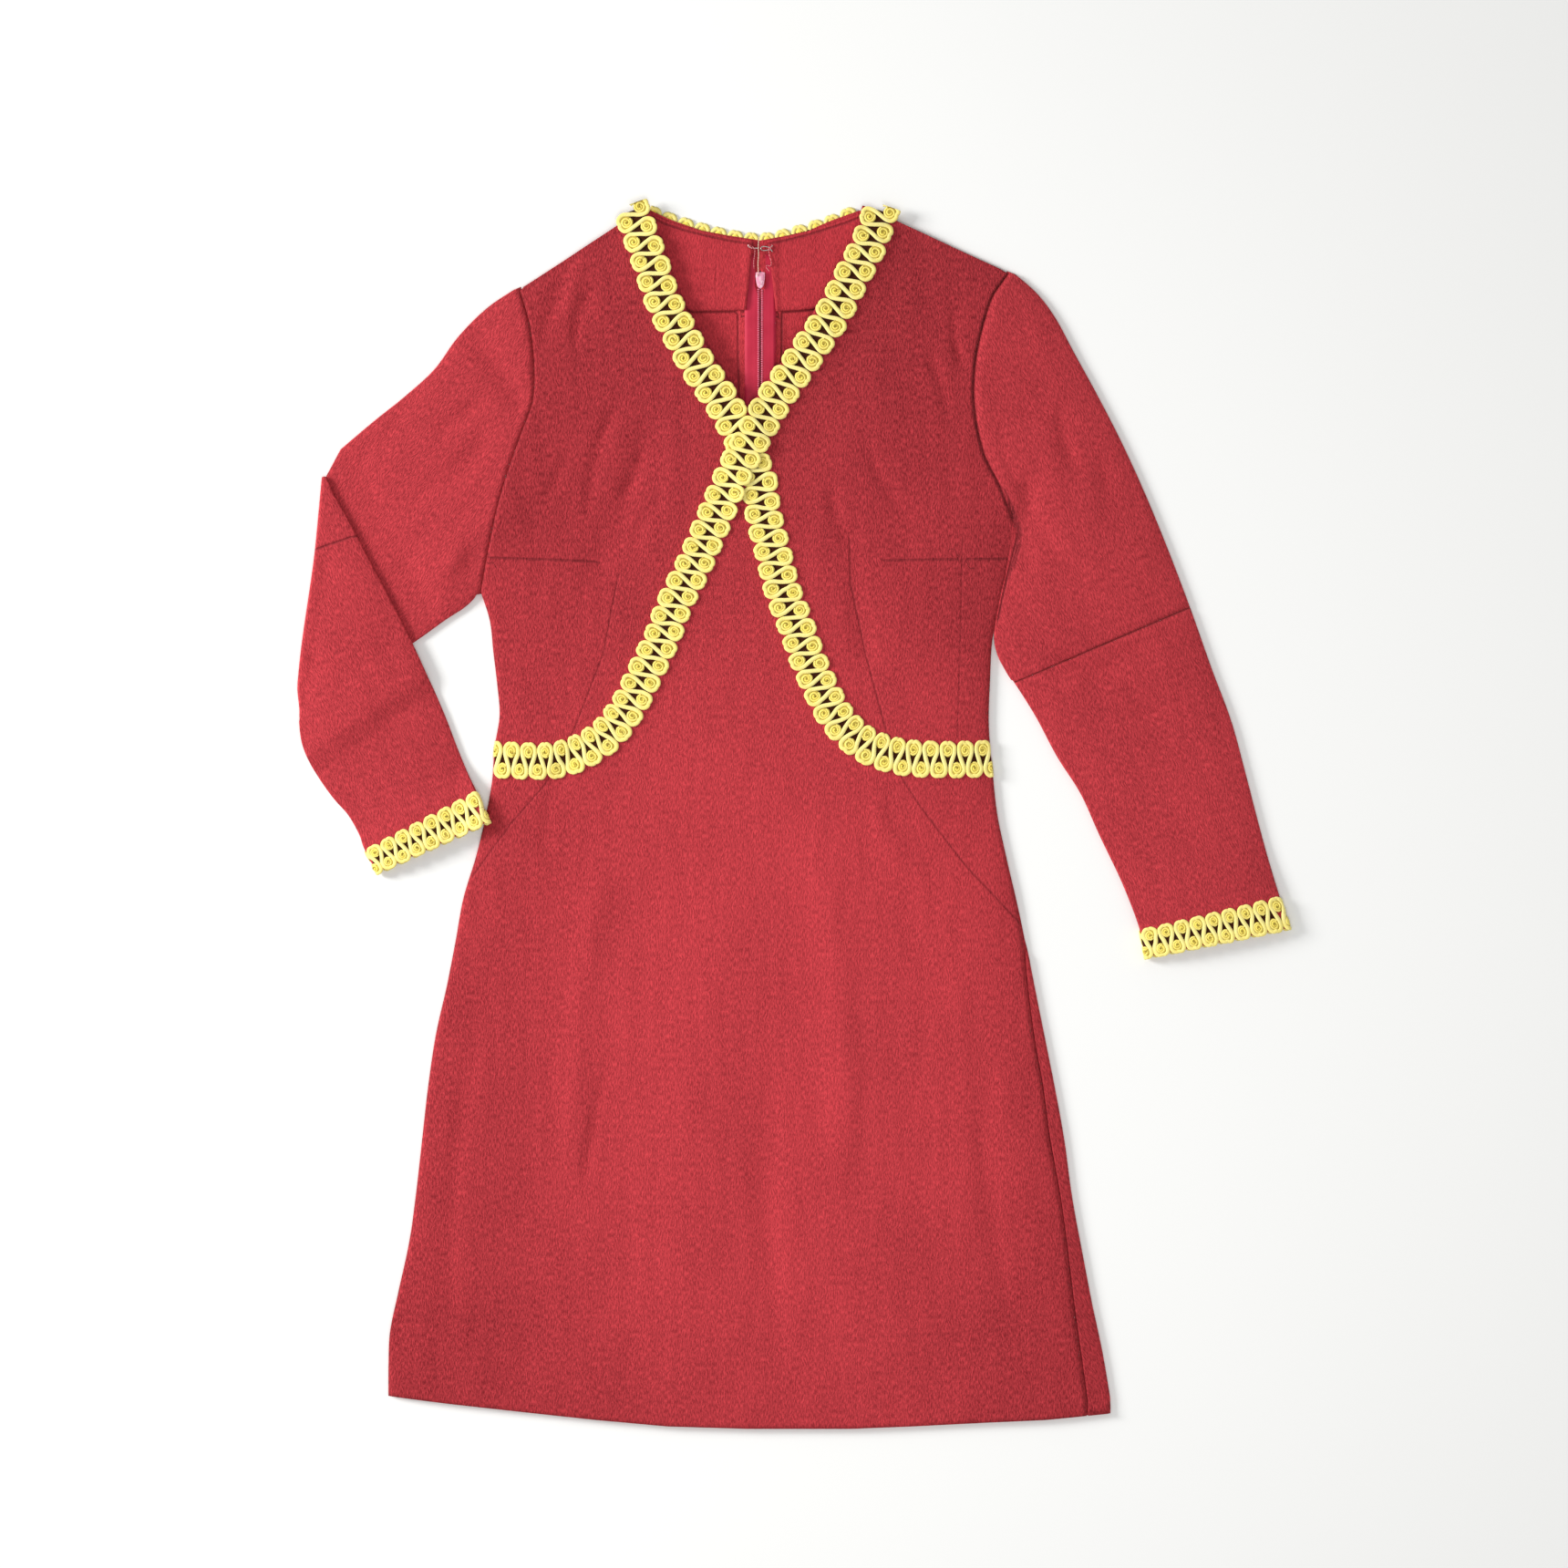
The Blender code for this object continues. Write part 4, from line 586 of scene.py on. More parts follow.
tape_weave = woven_tape()
tape_rows = spaced(448.0, -20.0, 5.0)
TAPE_WIDE = 12.5
TAPE_THICK = 0.55
TAPE_SEAT = 1.05    # its middle above the middle of the back
TAPE_ACROSS = np.array((0, 0.06, 0.14, 0.3, 0.5, 0.75, 1.0))
for side, solid in ((-1, "zip_tape_left"), (1, "zip_tape_right")):
    # Its inner edge keeps clear of the slider; a ridge runs where it is sewn down.
    edge = (1.3 + 2.9 * share_of(416.5, 420.0, tape_rows))[:, None]
    away = edge + (TAPE_WIDE - edge) * TAPE_ACROSS
    x = ZIP_X + side * away
    y = tape_rows[:, None] + 0 * x
    ridge = 0.25 * np.exp(-((away - 3.6) / 0.9) ** 2)
    z = back_mid(x, y) + allowances(x, y) + TAPE_SEAT + ridge
    stitching = ((ZIP_X + side * 5.6, 448), (ZIP_X + side * 5.6, -20))
    tape = cloth_shell("tape_left" if side < 0 else "tape_right",
                       [panel(x, y, z, ((0.8, stitching),))], thickness=TAPE_THICK)
    tape.data.materials.clear()
    tape.data.materials.append(tape_weave)
    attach(tape, "dress")
    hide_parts(solid)

# Nylon monofilament: smooth and glossy, let down a little by dye that took unevenly.
nylon, tree, shader = new_material("nylon_monofilament")
place = node(tree, "TexCoord").outputs["Object"]
mottle = node(tree, "TexNoise", {"Vector": place, "Scale": 700.0})
fill(tree, shader, {
    "Base Color": blend(tree, mottle, "#C23A5C", "#F08CA2"), "Roughness": 0.32, "IOR": 1.53})

# One turn of the coil is a short bent bar of nylon; the turns of the two halves mesh.
TURN_PITCH = 1.5
COIL_SEAT = 0.85
TURN_LINE = (
    # away from the middle, height, half thickness
    (0.55, 0.15, 0.34), (1.15, 0.66, 0.42), (1.8, 0.75, 0.42), (2.35, 0.2, 0.3))
ring = np.radians(np.arange(5) * 72.0)
turn_points = np.concatenate([
    np.stack([away + 0 * ring, 1.4 * size * np.cos(ring), high + size * np.sin(ring)], -1)
    for away, high, size in TURN_LINE])
turn_faces = [[k * 5 + a, k * 5 + (a + 1) % 5, (k + 1) * 5 + (a + 1) % 5, (k + 1) * 5 + a]
              for k in range(3) for a in range(5)] + [[4, 3, 2, 1, 0], [15, 16, 17, 18, 19]]
points, faces = [], []
turn_ys = np.arange(420.0, -19.0, -TURN_PITCH)
for side in (-1, 1):
    for y in turn_ys - (0.0 if side < 0 else TURN_PITCH / 2):
        seat = float(back_mid(ZIP_X, y) + allowances(ZIP_X, y)) + COIL_SEAT
        first = len(points) * len(turn_points)
        faces += [[first + i for i in face[::side]] for face in turn_faces]
        points.append(turn_points * (side, 1, 1) + (ZIP_X - MIDDLE[0], y - MIDDLE[1], seat))
mesh = bpy.data.meshes.new("zip_turns")
mesh.from_pydata(np.concatenate(points) * MM, [], faces)
mesh.shade_smooth()
mesh.materials.append(nylon)
coil = in_scene("zip_turns", mesh)
bpy.ops.object.mode_set(mode="EDIT")
bpy.ops.mesh.select_all(action="SELECT")
bpy.ops.mesh.normals_make_consistent(inside=False)
bpy.ops.object.mode_set(mode="OBJECT")
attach(coil, "dress")
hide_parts("zip_coil")


def stove_enamel():
    """Stove enamel on die-cast zinc: glossy pink, worn pale where it has been rubbed."""
    paint, tree, shader = new_material("stove_enamel_on_zinc")
    place = node(tree, "TexCoord").outputs["Object"]
    rubbed = node(tree, "TexNoise", {"Vector": place, "Scale": 420.0, "Detail": 3.0})
    colour = blend(tree, ramp(tree, rubbed, 0.52, 0.72), "#E596AF", "#F6D6DE")
    fill(tree, shader, {
        "Base Color": colour, "Roughness": ramp(tree, rubbed, 0.0, 1.0, 0.25, 0.45)})
    return paint


enamel = stove_enamel()
BAIL_Y = 430.0


def shaped_plate(name, outline, middle_y, low, high, bevel, scale=(1.0, 1.0)):
    """A small cast plate on the zip's line: an outline in mm, raised and rounded."""
    bpy.ops.object.select_all(action="DESELECT")
    bpy.ops.mesh.primitive_circle_add(vertices=len(outline), radius=MM, fill_type="NGON")
    plate = bpy.context.object
    plate.name = name
    for vertex, (x, y) in zip(plate.data.vertices, outline):
        place = np.array((ZIP_X + scale[0] * x, middle_y + scale[1] * y)) - MIDDLE
        vertex.co = (*(place * MM), low * MM)
    bpy.ops.object.mode_set(mode="EDIT")
    bpy.ops.mesh.select_all(action="SELECT")
    bpy.ops.mesh.extrude_region_move(TRANSFORM_OT_translate={"value": (0, 0, (high - low) * MM)})
    bpy.ops.mesh.select_all(action="SELECT")
    bpy.ops.mesh.normals_make_consistent(inside=False)
    bpy.ops.object.mode_set(mode="OBJECT")
    round_off = plate.modifiers.new("round", "BEVEL")
    round_off.width = bevel * MM
    round_off.segments = 3
    bpy.ops.object.modifier_apply(modifier="round")
    bpy.ops.object.shade_smooth_by_angle(angle=math.radians(40))
    plate.data.materials.append(enamel)
    return plate


# The slider's two plates with the wedge between them, a raised rim, and its ears.
shield = [(-3.6, 6.2), (-1.4, 6.7), (0.0, 6.3), (1.4, 6.7), (3.6, 6.2), (3.75, 3.6), (3.5, 0.6),
          (3.0, -2.6), (2.3, -5.0), (1.1, -6.2), (0.0, -6.4), (-1.1, -6.2), (-2.3, -5.0),
          (-3.0, -2.6), (-3.5, 0.6), (-3.75, 3.6)]
wedge = [(-1.9, 6.0), (1.9, 6.0), (1.2, 3.6), (0.0, 2.2), (-1.2, 3.6)]
parts = [
    shaped_plate("slider_inner_plate", shield, SLIDER_Y, 4.75, 5.7, 0.35),
    shaped_plate("slider_outer_plate", shield, SLIDER_Y, 1.5, 2.3, 0.3, (0.97, 1.0)),
    shaped_plate("slider_wedge", wedge, SLIDER_Y, 2.1, 4.9, 0.15),
    shaped_plate("slider_rim", shield, SLIDER_Y, 5.4, 5.98, 0.28, (0.66, 0.7))]
for side in (-1, 1):
    near, far = sorted((side * 1.65, side * 2.45))
    ear = ((near, 0.8), (far, 0.8), (far, -0.8), (near, -0.8))
    parts.append(shaped_plate(f"slider_ear_{side + 1}", ear, BAIL_Y, 0.2, 1.7, 0.2))
bpy.ops.object.select_all(action="DESELECT")
for part in parts:
    part.select_set(True)
bpy.context.view_layer.objects.active = parts[0]
bpy.ops.object.join()
slider = bpy.context.object
slider.name = "slider"
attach(slider, "dress")
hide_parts("zip_slider")

leaf = [(-1.3, 0.5), (-0.8, 0.75), (0.8, 0.75), (1.3, 0.5), (1.3, -1.6), (2.3, -3.2), (2.45, -8.0),
        (2.3, -14.0), (1.6, -15.7), (0.0, -16.3), (-1.6, -15.7), (-2.3, -14.0), (-2.45, -8.0),
        (-2.3, -3.2), (-1.3, -1.6)]
pull = shaped_plate("pull_leaf", leaf, BAIL_Y, 0.3, 1.1, 0.25)
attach(pull, "pull")
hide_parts("zip_pull")


# The neck facings
# Two shaped pieces of the same crepe, wrong side outwards to the neck edge, sewn to
# it and turned in. Their free edges are only caught down at the zip.
FACINGS = (
    # name, solid, upper edge, free edge, flat size, area
    ("left_facing", "facing_left",
     ((-115, 481), (-102, 475), (-86, 470), (-70, 466), (-52, 462), (-32, 459)),
     ((-124, 474), (-114, 440), (-98, 412), (-82, 403), (-60, 403), (-38, 403.5)),
     (0.085, 0.078), 0.0051),
    ("right_facing", "facing_right",
     ((54, 481), (42, 476), (26, 471), (10, 466), (-6, 462), (-21, 459)),
     ((62, 474), (53, 440), (36, 412), (20, 405), (3, 403.5), (-14, 402.5)),
     (0.083, 0.078), 0.0045))
for name, solid, top, low, flat, area in FACINGS:
    places = np.linspace(0, 5, 46)
    ends = [np.stack([np.interp(places, range(6), [p[i] for p in edge]) for i in (0, 1)], -1)
            for edge in (top, low)]
    share = np.linspace(0, 1, 26)[:, None, None]
    grid = ends[0][None] + (ends[1] - ends[0])[None] * share
    x, y = grid[..., 0], grid[..., 1]
    # It rides up on the tape's edge, and its free edge lifts in slow waves.
    over_tape = 0.95 * (1.0 - share_of(12.4, 15.5, np.abs(x - ZIP_X)))
    lifted = 0.35 * share_of(0.75, 1.0, share[..., 0]) * (1.0 + 0.6 * np.sin(x * 0.16))
    z = back_mid(x, y) + 1.45 + over_tape + lifted + 0.12 * np.sin(x * 0.11 + y * 0.07)
    facing = cloth_shell(name, [panel(x, y, z, (
        (0.9, [(p[0], p[1] - 3.0) for p in top]), (0.22, ((-62, 440), (-62, 404)))))],
        thickness=1.0)
    facing.data.materials.clear()
    facing.data.materials.append(crepe_wrong_side)
    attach(facing, "dress")
    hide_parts(solid)


# The hook and eye
# Bent steel wire, sewn to the facings above the zip with a few turns of thread.
steel, tree, shader = new_material("drawn_steel_wire")
place = node(tree, "TexCoord").outputs["Object"]
dull = node(tree, "TexNoise", {"Vector": place, "Scale": 900.0, "Detail": 2.0})
# Bright where it is rubbed and dull elsewhere.
fill(tree, shader, {
    "Base Color": blend(tree, dull, "#8C8580", "#D9D4CE"),
    "Roughness": ramp(tree, dull, 0.0, 1.0, 0.25, 0.5), "Metallic": 1.0})


def thread_colour(name, dark, light):
    """Spun polyester sewing thread: matt, two plies twisted, drawn as slanting bands."""
    ply, tree, shader = new_material(name)
    place = node(tree, "TexCoord").outputs["Object"]
    twist = node(tree, "TexWave", {"Vector": place, "Scale": 300.0, "Distortion": 2.0},
                 bands_direction="DIAGONAL")
    fill(tree, shader, {
        "Base Color": blend(tree, twist.outputs["Fac"], dark, light), "Roughness": 0.8})
    return ply


def wire(name, route, radius, material, height):
    """A round wire or thread through places in mm, made a mesh."""
    curve = bpy.data.curves.new(name, "CURVE")
    curve.dimensions = "3D"
    curve.bevel_depth = radius * MM
    curve.bevel_resolution = 3
    curve.use_fill_caps = True
    spline = curve.splines.new("NURBS")
    spline.points.add(len(route) - 1)
    spline.use_endpoint_u = True
    spline.order_u = 3
    spline.resolution_u = 5
    for point, (x, y, *lift) in zip(spline.points, route):
        point.co = (*((np.array((x, y)) - MIDDLE) * MM), (height + sum(lift)) * MM, 1.0)
    made = in_scene(name, curve)
    bpy.ops.object.convert(target="MESH")
    made.data.materials.append(material)
    made.data.shade_smooth()
    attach(made, "dress")
    return made


HOOK_Y = 452.0
WIRE_HIGH = 5.77
for name, solid, route in (
        ("hook_wire", "hook", (
            (-9.6, 3.2), (-9.9, 2.0), (-8.4, 1.1), (-6.4, 0.6), (-3.0, 0.5), (-1.2, 0.5))),
        ("eye_wire", "eye", (
            (9.6, 3.0), (9.4, 1.9), (8.2, 1.2), (6.0, 1.4), (2.4, 2.2), (0.5, 1.2), (0.4, -0.6),
            (2.4, -1.6), (6.0, -0.9), (8.2, -0.6), (9.3, -1.2), (9.6, -2.4)))):
    made = wire(name, [(ZIP_X + x, HOOK_Y + y) for x, y in route], 0.4, steel, WIRE_HIGH)
    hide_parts(solid)

crimson_thread = thread_colour("crimson_sewing_thread", "#9E3340", "#E58A8C")
pale_thread = thread_colour("unbleached_thread", "#C9A88E", "#F0DCC6")
for name, thread, height, route in (
        ("hook_stitches", crimson_thread, 5.9, (
            (-35.6, 455.6), (-35.0, 452.2, 0.6), (-34.2, 455.4), (-33.4, 451.4, 0.6),
            (-32.6, 454.4), (-31.6, 450.8, 0.6), (-30.8, 453.6), (-31.0, 447.0, 0.2),
            (-32.2, 441.0), (-31.6, 436.4))),
        ("eye_stitches", crimson_thread, 5.9, (
            (-17.6, 455.0), (-18.2, 450.6, 0.6), (-19.0, 454.4), (-19.6, 449.8, 0.6),
            (-20.4, 453.6), (-19.6, 446.2, 0.2), (-17.4, 441.4), (-18.4, 437.6),
            (-21.4, 439.4), (-22.2, 436.6), (-19.4, 434.2))),
        ("loose_end", pale_thread, 6.3, (
            (-27.6, 461.6), (-28.4, 455.0), (-27.8, 447.4), (-28.6, 440.0), (-28.0, 433.6),
            (-29.0, 430.0)))):
    made = wire(name, route, 0.28, thread, height)


# The front
# The same crepe in one piece, with bust darts and long curved darts pressed flat. Its
# neck edge is faced, and it is sewn to the backs at the shoulders and sides.
# Each of these lines is drawn as a groove darkened with painted shade.
FRONT_SEAMS = (
    # depth and course: armholes, bust darts, long darts, a crease, the line of the hem
    (0.45, LEFT_ARMHOLE), (0.45, RIGHT_ARMHOLE),
    (0.75, ((-249, 205.5), (-157, 202))), (0.75, ((73, 203), (173, 204.5))),
    (0.6, ((45, 221.6), (45.6, 185), (58, 127), (74, 68), (88, 27), (102, 6), (138, -41),
           (181, -86.5))),
    (0.5, ((-140, 190), (-152, 127), (-175, 68), (-199, 23), (-226, -8), (-256, -49))),
    (0.35, ((135, 221), (133.5, 141), (131, 62))),
    (0.12, ((-320, -398), (-212, -409), (-37, -420), (104, -417), (226, -404))))

V_X, V_Y = -37.0, 322.0   # the point of the neck's V
front_rows = np.concatenate([spaced(486.4, V_Y, 3.6), spaced(318.5, HEM_LOWEST, 4.0)])
panels = []
for side, armhole, seam, shoulder, neck in (
        (-1, LEFT_ARMHOLE, LEFT_SIDE, LEFT_SHOULDER, LEFT_NECK),
        (1, RIGHT_ARMHOLE, SIDE_SEAM, RIGHT_SHOULDER, RIGHT_NECK)):
    outer, _ = back_edges(front_rows, armhole, seam, shoulder, BACK_NECK[:4], side)
    outer = outer - SEAM_GAP * (side > 0) * (front_rows < SIDE_TURNS_FROM)
    inner = np.where(front_rows >= V_Y, edge_at(neck, np.maximum(front_rows, V_Y)), V_X)
    share = np.linspace(0, 1, 64)[None, :]
    first, last = (outer, inner) if side < 0 else (inner, outer)
    x = first[:, None] + (last - first)[:, None] * share
    y = hem_curve(x, front_rows[:, None] + 0 * x)
    z = top_mid(x, y)
    # Its edges are pressed down over their last 3 mm.
    rim = np.minimum(distance(x, y, seam), distance(x, y, neck))
    z -= 0.45 * (1.0 - share_of(0.0, 3.0, rim))
    panels.append(panel(x, y, z, FRONT_SEAMS))
front = cloth_shell("dress_front", panels)
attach(front, "dress")
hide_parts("front")


# The sleeves
# Each sleeve is a tube of crepe in two parts, joined at the elbow. One lies out
# straight. The other turns over at the elbow, and its forearm lies on top of it.
def between(a, b, c, d, t):
    """A place between b and c on a smooth curve that comes from a and goes on to d."""
    return 0.5 * (2 * b + (c - a) * t + (2 * a - 5 * b + 4 * c - d) * t * t
                  + (3 * b - a - 3 * c + d) * t ** 3)


def finer(table):
    """A table's rows with others between them on a smooth curve, and their numbers."""
    rows = [2 * table[0] - table[1], *table, 2 * table[-1] - table[-2]]
    places, numbers = [], []
    for k, (a, b, c, d) in enumerate(zip(rows, rows[1:], rows[2:], rows[3:])):
        long = max(np.hypot(*(c - b)[:2]), np.hypot(*(c - b)[2:4]))
        count = max(1, round(long / SLEEVE_STEP))
        for t in np.arange(count) / count:
            places.append(between(a, b, c, d, t))
            numbers.append(k + t)
    return np.array(places + [rows[-2]]), np.array(numbers + [len(table) - 1.0])


SLEEVE_STEP = 4.2   # about the length between two rows of a sleeve
ACROSS = np.linspace(0.0, 1.0, 36)


def sleeve_lines(table, armhole):
    """Points across a flat sleeve on each row; the first rows follow the armhole."""
    line = np.array(armhole, float)
    chord = line[-1] - line[0]
    places = (line - line[0]) @ chord / (chord @ chord)
    bulge = line - line[0] - places[:, None] * chord
    curve = np.stack([np.interp(ACROSS, places, bulge[:, i]) for i in (0, 1)], -1)
    outer, under = table[:, None, :2], table[:, None, 2:4]
    share = ACROSS[None, :, None]
    return outer + (under - outer) * share + table[:, 4, None, None] * curve[None]


TURN = np.radians((-50, 0, 50))   # three steps round a turned edge
TURN_SHARE = 0.5 + 0.5 * np.sin(TURN)


def sleeve_rings(line, low, high, turned=False):
    """Rings round a flat sleeve: one layer, the underarm side, the other layer, a side."""
    reach = unit(line[:, -1] - line[:, 0])
    first, second = (high, low) if turned else (low, high)
    parts = [np.concatenate([line, first[..., None]], -1)]
    for edge, way, a, b in ((-1, 1, first, second), (0, -1, second, first)):
        side = []
        for turn, share in zip(TURN, TURN_SHARE):
            out = line[:, edge] + way * reach * EDGE_ROUND * math.cos(turn)
            height = a[:, edge] * (1 - share) + b[:, edge] * share
            side.append(np.concatenate([out, height[:, None]], -1))
        parts.append(np.stack(side, 1))
        if edge == -1:
            parts.append(np.concatenate([line[:, ::-1], second[:, ::-1, None]], -1))
    return np.concatenate(parts, 1)


def sleeve_grain(rings, way):
    """The grain of a flat sleeve's two layers runs straight along way."""
    closed = np.concatenate([rings, rings[:, :1]], 1)[..., :2]
    way = unit(np.array(way))
    return np.stack([closed @ np.array((-way[1], way[0])), -(closed @ way)], -1) * MM


def sleeve_piece(name, rings, grain, lines, nodes, turned=False):
    """One tube of the sleeves as a shell, with seam lines on both of its layers."""
    closed = np.concatenate([rings, rings[:, :1]], 1)
    seams = seam_map(closed[..., 0], closed[..., 1], lines)
    shell = cloth_shell(name, [(rings, grain, seams)], ring=True, inside="in", turned=turned)
    shell.data.materials[0] = crepe_sleeve
    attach(shell, "dress")
    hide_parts(*nodes)


BRAID_LIFT = 1.6    # how far a sleeve's end lies up on the braid beneath it
TUCKED = 0.9        # how far a sleeve's first row goes in under the dress's edge
CUFF_SHORT = 2.6    # the sleeve ends this far inside the braid's edge
ARMHOLE_SEAM = ((0.45, LEFT_ARMHOLE), (0.45, RIGHT_ARMHOLE))
ELBOW_SEAM = ((0.5, ((316, 165), (178, 106))),)
# At the right armpit the sleeve is tucked against the side, in a deep fold; these lines,
# drawn dark by the seam map, are the fold's painted shadow.
ARMPIT_FOLD_SHADOW = (
    (1.0, ((156, 282), (167, 256), (180, 226), (175.5, 208), (168.5, 178), (163.5, 155))),
    (0.9, ((163, 268), (171, 251), (181.5, 227), (178.4, 211), (173, 190))),
    (0.7, ((169, 259), (175, 246), (183, 228), (181, 213), (177, 198))))
table, number = finer(STRAIGHT_SLEEVE)
for name, solid, low_end, high_end, flat, area, way in (
        ("straight_upper_arm", "straight_sleeve_upper", 0.0, 8.0, (0.42, 0.33), 0.0617,
         (0.30, -0.95)),
        ("straight_forearm", "straight_sleeve_lower", 8.0, 15.0, (0.31, 0.28), 0.0672,
         (0.26, -0.97))):
    part = (number >= low_end) & (number <= high_end)
    line = sleeve_lines(table[part], RIGHT_ARMHOLE)
    # From row 12.4 to row 13.9 it climbs onto the cuff's braid.
    lift = (BRAID_LIFT * share_of(12.4, 13.9, number[part]))[:, None]
    low = np.full(line.shape[:2], BACK_MID) + lift
    seam_dip = np.zeros(lift.shape)
    if low_end > 0:
        # The first row laps over the elbow seam.
        line[0] -= 0.3 * unit(line[1] - line[0])
        line[-1] -= CUFF_SHORT * unit(line[-1] - line[-2])
        seam_dip[0] = 0.6
        low[0] += 0.1
    else:
        # The first row runs down the armhole.
        line[0, :, 1] = 433.5 - 208.5 * ACROSS
        line[0, :, 0] = edge_at(RIGHT_ARMHOLE, line[0, :, 1]) - TUCKED
        seam_dip[0] = 0.9
        seam_dip[-1] = 0.5
    high = top_mid(line[..., 0], line[..., 1]) + lift - seam_dip
    rings = sleeve_rings(line, low, high)
    sleeve_piece(name, rings, sleeve_grain(rings, way),
                 ARMHOLE_SEAM + ELBOW_SEAM + ARMPIT_FOLD_SHADOW, (solid,))

WALL_HALF = 0.65       # half the cloth's thickness, and a little more
FOREARM_CLEAR = 0.7    # between the folded forearm and what it lies on


def under_forearm(x, y):
    """Whether a place on the folded sleeve is hidden by its forearm."""
    edge_x = np.array([p[0] for p in FOREARM_EDGE], float)[::-1]
    edge_y = np.array([p[1] for p in FOREARM_EDGE], float)[::-1]
    return (y <= edge_y[-1]) & (y >= edge_y[0]) & (x <= np.interp(y, edge_y, edge_x))


def forearm_floor(x, y):
    """What the forearm lies on: its own upper half, the side of the dress, or nothing."""
    on_sleeve = EDGE_TOP + WALL_HALF + FOREARM_CLEAR
    start, end = np.array(UPPER_UNDER_EDGE[0], float), np.array(UPPER_UNDER_EDGE[-1], float)
    along = unit(end - start)
    past = -((x - start[0]) * along[1] - (y - start[1]) * along[0]) - 30.0
    floor = np.maximum(0.0, on_sleeve - 0.25 * np.maximum(0.0, past))
    short = np.maximum(0.0, -250.0 - x)
    return np.where(y < 60, np.maximum(floor, on_sleeve + 1.9 - 0.325 * short), floor)


upper_table, _ = finer(FOLDED_UPPER)
line = sleeve_lines(upper_table, LEFT_ARMHOLE)
line[0, :, 1] = 421.0 - 243.0 * ACROSS
line[0, :, 0] = edge_at(LEFT_ARMHOLE, line[0, :, 1]) + TUCKED
high = top_mid(line[..., 0], line[..., 1])
high = np.where(under_forearm(line[..., 0], line[..., 1]), EDGE_TOP, high)
high[0] -= 0.9
upper_rings = sleeve_rings(line, np.full(high.shape, BACK_MID), high)

# The turn at the fold: the outer layer goes round the inner one.
start, end = np.array(FOLD_LINE, float)
along = unit(end - start)
outward = np.array((along[1], -along[0]))
FOLD_INNER = 1.0    # radius of the inner layer's turn
FOLD_BACK = 3.4     # the fold's axis lies this far inside the sleeve's outline
axis_z = EDGE_TOP + FOLD_INNER
fold_outer = axis_z - BACK_MID
turns = []
for angle in np.linspace(0, math.pi, 9):
    parts = []
    for radius, rest, order, tip_from, way in (
            (fold_outer, FOLD_INNER, ACROSS, end, along),
            (FOLD_INNER, fold_outer, ACROSS[::-1], start, -along)):
        belly = 4.0 * share_of(0.25, 0.8, order) * (1.0 - share_of(0.86, 1.0, order))
        base = start + (end - start) * order[:, None] + outward * belly[:, None]
        base -= outward * (FOLD_BACK - radius * math.sin(angle))
        height = np.full((len(base), 1), axis_z - radius * math.cos(angle))
        parts.append(np.concatenate([base, height], 1))
        for turn, share in zip(TURN, TURN_SHARE):
            mid = radius * (1 - share) + rest * share
            place = (tip_from + way * EDGE_ROUND * math.cos(turn)
                     - outward * (FOLD_BACK - mid * math.sin(angle)))
            parts.append(np.array([[*place, axis_z - mid * math.cos(angle)]]))
    turns.append(np.concatenate(parts, 0))

FOREARM_INNER = [tuple(r[:2]) for r in FOREARM]
FOREARM_OUTER = [tuple(r[2:4]) for r in FOREARM]
SHUT = 1.7          # between the middles of two layers where they are pressed together


def forearm_puff(x, y):
    """How far the forearm's upper layer is puffed up, well past the fold."""
    near = np.minimum(distance(x, y, FOREARM_INNER), distance(x, y, FOREARM_OUTER))
    return 1.0 - np.exp(-near / LOFT_RUN)


def forearm_top(x, y):
    """Middle of the forearm's upper layer near the wrist."""
    low = forearm_floor(x, y) + BACK_MID + BRAID_LIFT
    return low + SHUT + LOFT * forearm_puff(x, y)


table, number = finer(np.concatenate([FOREARM, np.zeros((len(FOREARM), 1))], 1))
line = sleeve_lines(table, LEFT_ARMHOLE)
line[-1] -= CUFF_SHORT * unit(line[-1] - line[-2])
x, y = line[..., 0], line[..., 1]
low = forearm_floor(x, y) + BACK_MID + (BRAID_LIFT * share_of(7.6, 9.0, number))[:, None]
loft = (LOFT * share_of(0.0, 3.0, number))[:, None] * forearm_puff(x, y)
# Its creases are those of the straight sleeve, 600 mm further over.
high = low + SHUT + loft + creases(x + 600.0, y)
rings = np.concatenate([upper_rings, turns, sleeve_rings(line, low, high, turned=True)], 0)
# Past the fold the grain is the mirror image of the grain before it.
past_fold = len(upper_rings) + len(turns) // 2
unfolded = rings.copy()
off = (unfolded[past_fold:, :, :2] - start) @ outward
unfolded[past_fold:, :, :2] -= 2.0 * off[..., None] * outward
elbow = ((0.9, ((-382, 211.5), (-371, 215.5), (-351.5, 222))), ARMHOLE_SEAM[0])
sleeve_piece("folded_sleeve", rings, sleeve_grain(unfolded, (-0.5, -0.86)), elbow,
             ("folded_sleeve_upper", "folded_sleeve_lower"), turned=True)


# The braid
# Scroll gimp: a soft yellow cord that winds from side to side round small coils of
# the same cord. Two strips cross at the V and run to the waist; it also trims the
# cuffs and the back of the neck. It is sewn on by hand at its coils.
CORD_HALF = 1.74
COIL_OUT = 7.2      # from the strip's middle to the coils' centres
LOOP = ((0.0, 0.0), (-0.088, 4.2), (-0.132, 7.7), (-0.09, 11.0), (0.035, 13.0), (0.15, 13.35),
        (0.25, 12.75), (0.35, 13.3), (0.475, 12.7), (0.60, 10.7), (0.632, 7.7), (0.588, 4.2))
